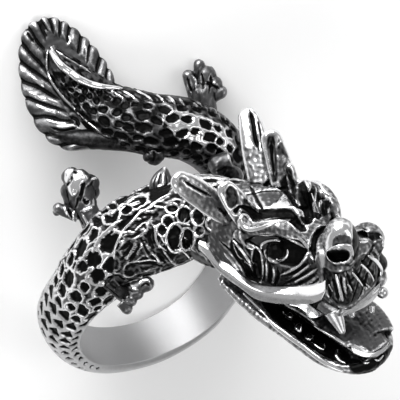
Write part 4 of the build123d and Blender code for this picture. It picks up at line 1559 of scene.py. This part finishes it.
# Upper edge, ridge and lower edge on the photograph, then a point of the head's frame in
# millimetres (fore, left, up) that lies as deep
WHISKER_ROWS = [
    ((200, 237), (198, 243), (198, 249), (0.6, -6.0, 0.4)),
    ((211, 243), (208, 250), (207, 257), (2.2, -5.8, 0.0)),
    ((220, 258), (219, 265), (217, 270), (4.2, -5.0, -0.8)),
    ((231, 265), (231, 274), (229, 280), (6.0, -5.0, -1.4)),
    ((247, 278), (245, 284), (242, 289), (8.4, -4.9, -2.0)),
    ((258, 284), (259, 291), (256, 299), (10.2, -4.7, -2.4)),
    ((275, 286), (277, 294), (275, 303), (12.2, -4.4, -2.3)),
    ((297, 285), (296, 296), (295, 304), (14.2, -4.2, -2.0)),
    ((313, 283), (312, 296), (311, 303), (16.2, -3.9, -1.4)),
    ((325, 276), (325, 290), (321, 299), (17.6, -3.8, -0.8)),
]
LIP_ROWS = [
    ((321, 298), (318, 303), (316, 308), (16.6, -3.6, -2.9)),
    ((328, 301), (325, 307), (323, 313), (17.4, -3.4, -3.1)),
    ((335, 306), (332, 311), (330, 316), (18.1, -3.2, -3.1)),
    ((341, 309), (339, 313), (338, 317), (18.8, -2.9, -3.1)),
    ((350, 303), (348, 309), (346, 315), (19.2, -1.6, -3.1)),
    ((360, 298), (359, 304), (358, 310), (19.4, 0.0, -3.1)),
    ((372, 289), (371, 297), (369, 304), (19.6, 1.8, -3.0)),
    ((380, 282), (379, 288), (378, 294), (19.7, 2.8, -2.9)),
]
JAW_LIP_ROWS = [
    ((350, 344), (351, 348), (353, 353)),
    ((358, 346), (358, 350), (361, 356)),
    ((368, 351), (367, 353), (368, 357)),
    ((375, 350), (375, 352), (375, 356)),
    ((384, 345), (382, 348), (381, 353)),
    ((390, 340), (387, 343), (386, 348)),
]
FANG_ROWS = [
    ((288, 302), (289, 304.6), (290, 305), (13.8, -3.6, -3.6)),
    ((298, 302), (298, 306.6), (298, 307), (14.6, -3.6, -3.7)),
    ((306, 303), (304.6, 311), (304, 312), (15.2, -3.6, -3.8)),
    ((314, 308), (310.5, 316.6), (309.6, 318), (15.8, -3.5, -3.9)),
    ((320, 312), (317, 316.4), (316.4, 317), (16.4, -3.4, -4.0)),
    ((323, 313), (322.4, 314.6), (322, 315), (16.8, -3.3, -4.0)),
]
FANG_PROUD = 0.9
# Upper teeth: base and tip on the photograph, base and tip radius, a point as deep
UPPER_TEETH = [
    ((333, 311), (343, 334), 1.00, 0.26, (18.6, -2.6, -3.8)),
    ((351, 311), (352, 318), 0.34, 0.26, (18.9, -1.0, -3.8)),
    ((371, 306), (371, 314), 0.34, 0.26, (19.2, 1.6, -3.8)),
]
LIP_BALL = ((382, 292.5), 0.58, (19.0, 3.2, -3.0))    # place, radius, a point as deep
BAND_STEPS = 6
# How black, how polished, height, outline of the area on the photograph
WHISKER_TONES = [
    (0.36, 0.02, 0.0, [(245, 273), (258, 281), (298, 282), (297, 286), (284, 289), (272, 293), (258, 290),
                       (246, 283)]),
    (0.0, 0.55, 0.0, [(196, 246), (220, 268), (246, 287), (262, 294), (290, 298), (310, 299), (312, 305),
                      (280, 306), (255, 302), (228, 282), (196, 252)]),
]
LIP_TONES = [
    (0.0, 0.62, 0.0, [(300, 292), (328, 296), (341, 304), (376, 281), (392, 270), (390, 294), (350, 322),
                      (320, 316), (300, 312)]),
    (0.10, 0.30, 0.0, [(300, 292), (328, 296), (340, 303), (337, 320), (318, 316), (300, 312)]),
]


def depths_of(rows):
    """How far towards the camera each row of a band lies."""
    return [from_head(np.array(row[3])) @ VIEW_BACK for row in rows]


def facet_band(name, rows, depths, proud, thick, mirror=False, tones=()):
    """A bar of two flat facets that meet in a ridge, given by its edges on the photograph."""
    table = smooth_rows([(*row[0], *row[1], *row[2], deep) for row, deep in zip(rows, depths)],
                        BAND_STEPS * (len(rows) - 1) + 1)
    deep = table[:, 6]
    upper, crest, lower = (np.array([seen_at(p) for p in table[:, k:k + 2]]) for k in (0, 2, 4))
    out = VIEW_BACK
    level = out * deep[:, None]
    inset = 0.25 * (crest - 0.5 * (upper + lower))
    loops = np.stack([upper + level, crest + level + out * proud, lower + level,
                      lower + level - out * thick + inset, upper + level - out * thick + inset], axis=1)
    count, n = loops.shape[:2]
    faces = []
    for i in range(count - 1):
        for k in range(n):
            a, b = i * n + k, i * n + (k + 1) % n
            faces.append((a, b, b + n, a + n))
    faces.append(tuple(range(n))[::-1])
    faces.append(tuple((count - 1) * n + k for k in range(n)))
    points = loops.reshape(-1, 3)
    crisp(mesh_piece(name, points, faces), tones)
    if mirror:
        crisp(mesh_piece(name + "_far", mirrored(points), faces), ())


def upper_teeth():
    """The near fang's core, the small teeth of the lip and the ball at its far corner."""
    teeth = []
    for root, tip, root_radius, tip_radius, deep in UPPER_TEETH:
        level = from_head(np.array(deep))
        teeth.append(spike("tooth", at_depth(root, level), at_depth(tip, level), root_radius, tip_radius))
    place, radius, deep = LIP_BALL
    teeth.append(ball(at_depth(place, from_head(np.array(deep))), radius))
    return teeth


def make_bands():
    facet_band("whisker", WHISKER_ROWS, depths_of(WHISKER_ROWS), proud=0.40, thick=1.1, mirror=True,
               tones=WHISKER_TONES)
    facet_band("upper_lip", LIP_ROWS, depths_of(LIP_ROWS), proud=0.22, thick=1.0, tones=LIP_TONES)
    nearer = [depth + FANG_PROUD for depth in depths_of(FANG_ROWS)]
    facet_band("fang", FANG_ROWS, nearer, proud=0.42, thick=0.7 + FANG_PROUD, mirror=True)
    bare(joined("upper_teeth", upper_teeth()), 0.55)


def crisp(piece, tones):
    """Close a band's skin outwards, bevel its edges and finish it."""
    choose(piece)
    bpy.ops.object.mode_set(mode="EDIT")
    bpy.ops.mesh.select_all(action="SELECT")
    bpy.ops.mesh.normals_make_consistent(inside=False)
    bpy.ops.object.mode_set(mode="OBJECT")
    with_modifier(piece, "BEVEL", width=0.07, segments=2, limit_method="ANGLE", angle_limit=0.6)
    with_modifier(piece, "SUBSURF", subdivision_type="SIMPLE", levels=2)
    r = Relief(piece, 1.0)
    r.patches(tones, reach=None, feather=0.8)
    finished(piece, r.ink, r.polish, np.zeros(len(r.ink)), antique_steel())
    choose(piece)
    bpy.ops.object.shade_smooth_by_angle(angle=math.radians(24))


# Legs

# Bullets that make up the feet and the knobs: where each starts and ends on the photograph, its
# radii in millimetres, and how deep it lies towards the camera
LIMBS = [
    ((96, 232), (84, 204), 1.15, 1.10, 8.8),
    ((84, 206), (78, 182), 1.30, 1.35, 8.6),
    ((80, 192), (71, 177), 1.00, 1.00, 8.3),
    ((84, 192), (90, 183), 0.95, 0.90, 8.2),
    ((88, 198), (93, 191), 0.75, 0.65, 8.0),
    ((72, 206), (67, 190), 0.75, 0.70, 8.0),
    ((78, 216), (57, 208), 0.70, 0.50, 8.6),
    ((62, 206), (56, 212), 0.50, 0.42, 8.2),
    ((110, 281), (126, 296), 0.92, 0.75, 12.5),
    ((132, 290), (147, 284), 0.72, 0.74, 13.9),
    ((130, 296), (138, 294), 0.58, 0.56, 14.1),
    ((126, 299), (132, 301), 0.52, 0.50, 14.1),
    ((122, 302), (127, 309), 0.60, 0.55, 13.9),
    ((206, 112), (204, 92), 1.15, 1.05, -0.2),
    ((195, 97), (188, 74), 0.64, 0.58, -0.6),
    ((201, 92), (199, 63), 0.58, 0.55, -1.0),
    ((206, 94), (207, 73), 1.00, 0.90, -0.8),
    ((210, 96), (214, 83), 0.95, 0.85, -0.6),
    ((210, 97), (222, 91), 0.72, 0.58, -0.4),
    ((153, 147), (154, 155.5), 0.90, 0.95, 6.0),
    ((149, 154), (147, 157), 0.48, 0.46, 6.5),
    ((158, 152), (160, 157), 0.48, 0.46, 6.5),
    ((231, 160), (219.5, 164), 1.00, 1.15, 5.0),
    ((226, 171), (236, 176), 0.92, 0.80, 5.0),
]
SHOULDER = ((110, 281), 0.95, 12.3)        # the near foot's root: place, radius, depth
LIMB_LINES = [
    (0.16, -0.25, 1.0, [(82, 182), (82, 190), (79, 198)]),
    (0.14, -0.22, 1.0, [(72, 170), (77, 173), (84, 178)]),
    (0.13, -0.20, 1.0, [(66, 186), (70, 181), (72, 175)]),
    (0.12, 0.10, -1.0, [(64, 206), (65, 211), (68, 216)], [(74, 211), (72, 216), (75, 222)]),
    (0.16, 0.10, -1.0, [(92, 196), (93, 204), (88, 209), (80, 211)]),
    (0.16, -0.25, 1.0, [(83, 198), (86, 203), (89, 200)]),
    (0.14, -0.22, 1.0, [(68, 208), (70, 214), (72, 219)], [(77, 214), (80, 221), (84, 226)]),
    (0.12, 0.12, -0.8, [(82, 214), (86, 221), (90, 229)]),
    (0.13, -0.20, 1.0, [(102, 272), (108, 281), (116, 290)]),
    (0.12, 0.12, -0.7, [(107, 271), (113, 279), (120, 287)]),
    (0.13, -0.20, 1.0, [(112, 272), (118, 280), (126, 287)]),
    (0.12, -0.16, 0.9, [(104, 283), (111, 291), (119, 297)]),
    (0.10, 0.08, -1.0, [(139, 283.5), (142, 280), (147, 279.5), (150, 282)]),
    (0.13, -0.08, 0.9, [(141, 287), (146, 283.5), (150, 286)]),
    (0.10, 0.08, -1.0, [(131, 291), (134, 288.5), (138, 290)], [(126, 299), (129, 296), (133, 298)],
     [(121, 304), (123, 300), (127, 301.5)]),
    (0.14, 0.14, -1.0, [(86, 186), (91, 180), (97, 178)]),
    (0.12, -0.20, 1.0, [(74, 189), (74, 192), (73, 194)]),
    (0.15, -0.20, 1.0, [(70, 214), (76, 204), (78, 196)]),
    (0.14, 0.16, -1.0, [(192, 74), (196, 82), (198, 92)]),
    (0.14, -0.20, 1.0, [(187, 76), (189, 84), (192, 92)]),
    (0.13, -0.18, 1.0, [(201, 70), (203, 80), (203, 90)], [(211, 74), (211, 82), (209, 92)],
     [(206, 80), (212, 84), (220, 88)]),
    (0.16, -0.22, 1.0, [(146, 150), (152, 148), (162, 151)]),
    (0.13, -0.18, 1.0, [(153, 150), (154, 156), (153, 162)]),
    (0.20, -0.20, 1.0, [(216, 171), (222, 170), (227, 166)]),
]
# How black, how polished, height, outline of the area on the photograph
FOOT_AREAS = [
    (0.45, 0.0, 0.0, [(96, 262), (112, 266), (130, 284), (133, 292), (124, 300), (104, 292), (94, 274)]),
    (0.0, 0.95, 0.0, [(63.8, 179), (65.5, 171), (70, 168), (73, 169.5), (69, 176), (66, 182)]),
    (0.0, 1.0, 0.0, [(67.6, 184), (74, 174), (80, 170), (83, 174), (88, 177), (83, 182), (78, 190),
                     (73, 196), (69, 192)]),
    (0.35, 0.1, 0.0, [(87, 183), (92, 180), (98, 181), (98, 192), (92, 200), (87, 196)]),
    (0.8, 0.0, 0.0, [(82, 184), (85, 184), (82, 198), (79, 200)]),
    (0.45, 0.0, 0.0, [(140, 140), (166, 140), (168, 168), (140, 168)]),
    (0.55, 0.0, 0.0, [(218, 172), (222, 166), (236, 168), (240, 182), (220, 182)]),
]
# The leaf-shaped spike on the neck's back: places and shares of its radius
LEAF_LINE = [((160, 198), 0.75), ((161, 186), 1.0), ((163, 176), 0.75), ((165, 166), 0.12)]
LEAF_DEPTH = 11.9
LEAF_RADIUS = 1.2
LEAF_FLATNESS = 0.6
LEAF_STROKES = [
    (0.09, -0.08, 0.6, [(158, 190), (159, 180), (161, 172)], [(154, 192), (154, 182), (157, 175)],
     [(166, 192), (167, 182), (166, 174)]),
    (0.12, 0.12, -0.9, [(162, 190), (163, 180), (164, 172)]),
]
LEG_VOXEL = 0.095


def leaf():
    rows = smooth_rows([(*seen_at(place), share) for place, share in LEAF_LINE], 30)
    wide = rows[:, 3] * LEAF_RADIUS
    points, faces = tube(rows[:, :3] + VIEW_BACK * LEAF_DEPTH, VIEW_RIGHT, wide, LEAF_FLATNESS * wide,
                         0.0, 20)
    return mesh_piece("leaf", points, faces)


def make_legs():
    pieces = []
    for start, end, first, last, deep in LIMBS:
        level = VIEW_BACK * deep
        base, tip = seen_at(start) + level, seen_at(end) + level
        pieces.append(spike("limb", base, tip + unit(tip - base) * last, first, last))
    place, radius, deep = SHOULDER
    pieces.append(ball(seen_at(place) + VIEW_BACK * deep, radius))
    pieces.append(leaf())
    legs = cast_together("legs", pieces, LEG_VOXEL, rounds=1)
    r = Relief(legs, 0.10)
    r.ink[:] = 0.18
    r.strokes(LIMB_LINES)
    r.patches(FOOT_AREAS, feather=0.9)
    r.strokes(LEAF_STROKES)
    r.roughen(height=0.04, size=0.9, seed=17)
    r.apply()
    antiqued(legs, r, rubbed_and_sheen=0.8)


# Stage

CAMERA_DISTANCE = 1.6
SENSOR_WIDTH = 36.0         # millimetres
RING_DEPTH = 14.0           # the ring's middle towards the camera, in the finger's frame
FLOOR_SIZE = 4.0
# Soft square lights: direction to the camera's right, up and back, distance, size
LIGHTS = [
    ("key", (-0.28, 0.76, 0.58), 0.50, 0.48),
    ("fill", (0.80, -0.10, 0.60), 0.55, 0.34),
    ("front", (-0.1, -0.75, 0.60), 0.60, 0.36),
]
PHOTO_WIDTH = 2 * PHOTO_MIDDLE / VIEW_SCALE / 1000


def lay_floor(colour):
    bpy.ops.object.select_all(action="DESELECT")
    bpy.ops.mesh.primitive_plane_add(size=FLOOR_SIZE)
    floor = bpy.context.view_layer.objects.active
    floor.name = "floor"
    nodes = Nodes("pale_floor")
    shader = nodes.add("ShaderNodeBsdfPrincipled", {}, {"Base Color": (*colour, 1), "Roughness": 0.9})
    nodes.add("ShaderNodeOutputMaterial", {}, {"Surface": shader})
    floor.data.materials.append(nodes.material)


def camera_axes():
    """The camera's right, up and back in the CAD frame."""
    back = unit(LIE @ np.cross(VIEW_RIGHT, VIEW_UP))
    right = unit(np.cross(LIE @ VIEW_UP, back))
    return right, np.cross(back, right), back


def aim_camera(target, right, up, back):
    camera_data = bpy.data.cameras.new("camera")
    camera = bpy.data.objects.new("camera", camera_data)
    bpy.context.scene.collection.objects.link(camera)
    camera_data.sensor_width = SENSOR_WIDTH
    camera_data.lens = SENSOR_WIDTH * CAMERA_DISTANCE / PHOTO_WIDTH
    camera_data.clip_start, camera_data.clip_end = 0.1, 20.0
    camera.location = Vector(target + back * CAMERA_DISTANCE)
    camera.rotation_mode = "QUATERNION"
    camera.rotation_quaternion = Matrix(np.stack([right, up, back], axis=1).tolist()).to_quaternion()
    bpy.context.scene.camera = camera


def add_light(name, target, direction, distance, size, energy):
    light_data = bpy.data.lights.new(name, "AREA")
    light_data.shape = "SQUARE"
    light_data.size = size
    light_data.energy = energy
    light = bpy.data.objects.new(name, light_data)
    bpy.context.scene.collection.objects.link(light)
    light.location = Vector(target + direction * distance)
    light.rotation_euler = Vector(direction).to_track_quat("Z", "Y").to_euler()
    light.visible_camera = False


def make_stage():
    look = bpy.context.scene.dragon_stage
    lay_floor(look.floor)
    right, up, back = camera_axes()
    target = laid(seen_at((PHOTO_MIDDLE, PHOTO_MIDDLE)) + VIEW_BACK * RING_DEPTH)
    aim_camera(target, right, up, back)
    world = bpy.data.worlds.new("studio")
    world.use_nodes = True
    world.node_tree.nodes["Background"].inputs[0].default_value = (*look.surround, 1)
    world.node_tree.nodes["Background"].inputs[1].default_value = look.surround_strength
    bpy.context.scene.world = world
    bpy.context.scene.view_settings.view_transform = "Standard"
    for name, side, distance, size in LIGHTS:
        direction = unit(right * side[0] + up * side[1] + back * side[2])
        add_light(name, target, direction, distance, size, getattr(look, name))


# Add-on


class DragonBodySettings(bpy.types.PropertyGroup):
    scale_depth: FloatProperty(name="Scale depth", description="Depth of the scale pits, in millimetres",
                               default=0.26, min=0.0, max=0.6)
    rib_count: IntProperty(name="Ribs a side", description="Ribs on each side of the tail fan",
                           default=9, min=3, max=16)
    rib_height: FloatProperty(name="Rib height", description="Height of the fan's ribs, in millimetres",
                              default=0.30, min=0.0, max=0.6)


class DragonFinishSettings(bpy.types.PropertyGroup):
    steel: FloatVectorProperty(name="Steel", description="Colour of the polished steel",
                               subtype="COLOR", size=3, default=(0.82, 0.82, 0.83))
    tarnish: FloatVectorProperty(name="Tarnish", description="Colour of the steel that is not polished",
                                 subtype="COLOR", size=3, default=(0.085, 0.085, 0.087))
    patina: FloatVectorProperty(name="Patina", description="Colour of the blackened recesses",
                                subtype="COLOR", size=3, default=(0.007, 0.007, 0.007))
    roughness: FloatProperty(name="Roughness", description="Roughness of the polished steel",
                             default=0.14, min=0.0, max=1.0)


class DragonStageSettings(bpy.types.PropertyGroup):
    floor: FloatVectorProperty(name="Floor", description="Colour of the pale floor",
                               subtype="COLOR", size=3, default=(0.98, 0.98, 0.98))
    surround: FloatVectorProperty(name="Surround", description="Colour of the studio's surround",
                                  subtype="COLOR", size=3, default=(1.0, 1.0, 1.0))
    surround_strength: FloatProperty(name="Surround strength", description="Brightness of the surround",
                                     default=0.42, min=0.0)
    key: FloatProperty(name="Key light", description="Power of the main soft light",
                       default=5.2, min=0.0, unit="POWER")
    fill: FloatProperty(name="Fill light", description="Power of the soft light from the right",
                        default=0.7, min=0.0, unit="POWER")
    front: FloatProperty(name="Front light", description="Power of the soft light below the camera",
                         default=0.8, min=0.0, unit="POWER")


class DRAGON_OT_body(bpy.types.Operator):
    """Build the tail, the neck and the band with their pressed scales"""

    bl_idname = "dragon.body"
    bl_label = "Body"

    def execute(self, context):
        make_tail()
        make_neck()
        return {"FINISHED"}


class DRAGON_OT_fan(bpy.types.Operator):
    """Build the ribbed fan at the tail's end"""

    bl_idname = "dragon.fan"
    bl_label = "Tail fan"

    def execute(self, context):
        make_fan()
        return {"FINISHED"}


class DRAGON_OT_head(bpy.types.Operator):
    """Build the upper head with its horns, ears, mane, brows, eyes and nose"""

    bl_idname = "dragon.head"
    bl_label = "Head"

    def execute(self, context):
        make_head()
        return {"FINISHED"}


class DRAGON_OT_jaw(bpy.types.Operator):
    """Build the lower jaw with its rim, tongue, teeth and lip"""

    bl_idname = "dragon.jaw"
    bl_label = "Lower jaw"

    def execute(self, context):
        make_jaw()
        return {"FINISHED"}


class DRAGON_OT_bands(bpy.types.Operator):
    """Build the crisp whisker bands, the upper lip, the fangs and the upper teeth"""

    bl_idname = "dragon.bands"
    bl_label = "Whiskers and lip"

    def execute(self, context):
        make_bands()
        return {"FINISHED"}


class DRAGON_OT_legs(bpy.types.Operator):
    """Build the legs with their feet, the knobs and the leaf"""

    bl_idname = "dragon.legs"
    bl_label = "Legs"

    def execute(self, context):
        make_legs()
        return {"FINISHED"}


class DRAGON_OT_stage(bpy.types.Operator):
    """Set the floor, the lights and the camera"""

    bl_idname = "dragon.stage"
    bl_label = "Stage"

    def execute(self, context):
        make_stage()
        return {"FINISHED"}


class DRAGON_PT_panel(bpy.types.Panel):
    bl_idname = "DRAGON_PT_panel"
    bl_label = "Dragon Ring"
    bl_space_type = "VIEW_3D"
    bl_region_type = "UI"
    bl_category = "Dragon Ring"

    def draw(self, context):
        for group in (context.scene.dragon_body, context.scene.dragon_finish, context.scene.dragon_stage):
            for name in group.__annotations__:
                self.layout.prop(group, name)
        for operator in OPERATORS:
            self.layout.operator(operator.bl_idname)


SETTINGS = {
    "dragon_body": DragonBodySettings,
    "dragon_finish": DragonFinishSettings,
    "dragon_stage": DragonStageSettings,
}
OPERATORS = (
    DRAGON_OT_body,
    DRAGON_OT_fan,
    DRAGON_OT_head,
    DRAGON_OT_jaw,
    DRAGON_OT_bands,
    DRAGON_OT_legs,
    DRAGON_OT_stage,
)


def register():
    for cls in (*SETTINGS.values(), *OPERATORS, DRAGON_PT_panel):
        bpy.utils.register_class(cls)
    for name, cls in SETTINGS.items():
        setattr(bpy.types.Scene, name, PointerProperty(type=cls))


def unregister():
    for name in SETTINGS:
        delattr(bpy.types.Scene, name)
    for cls in (DRAGON_PT_panel, *reversed(OPERATORS), *SETTINGS.values()):
        bpy.utils.unregister_class(cls)


def main():
    register()
    for operator in OPERATORS:
        group, name = operator.bl_idname.split(".")
        getattr(getattr(bpy.ops, group), name)()


if __name__ == "__main__":
    main()
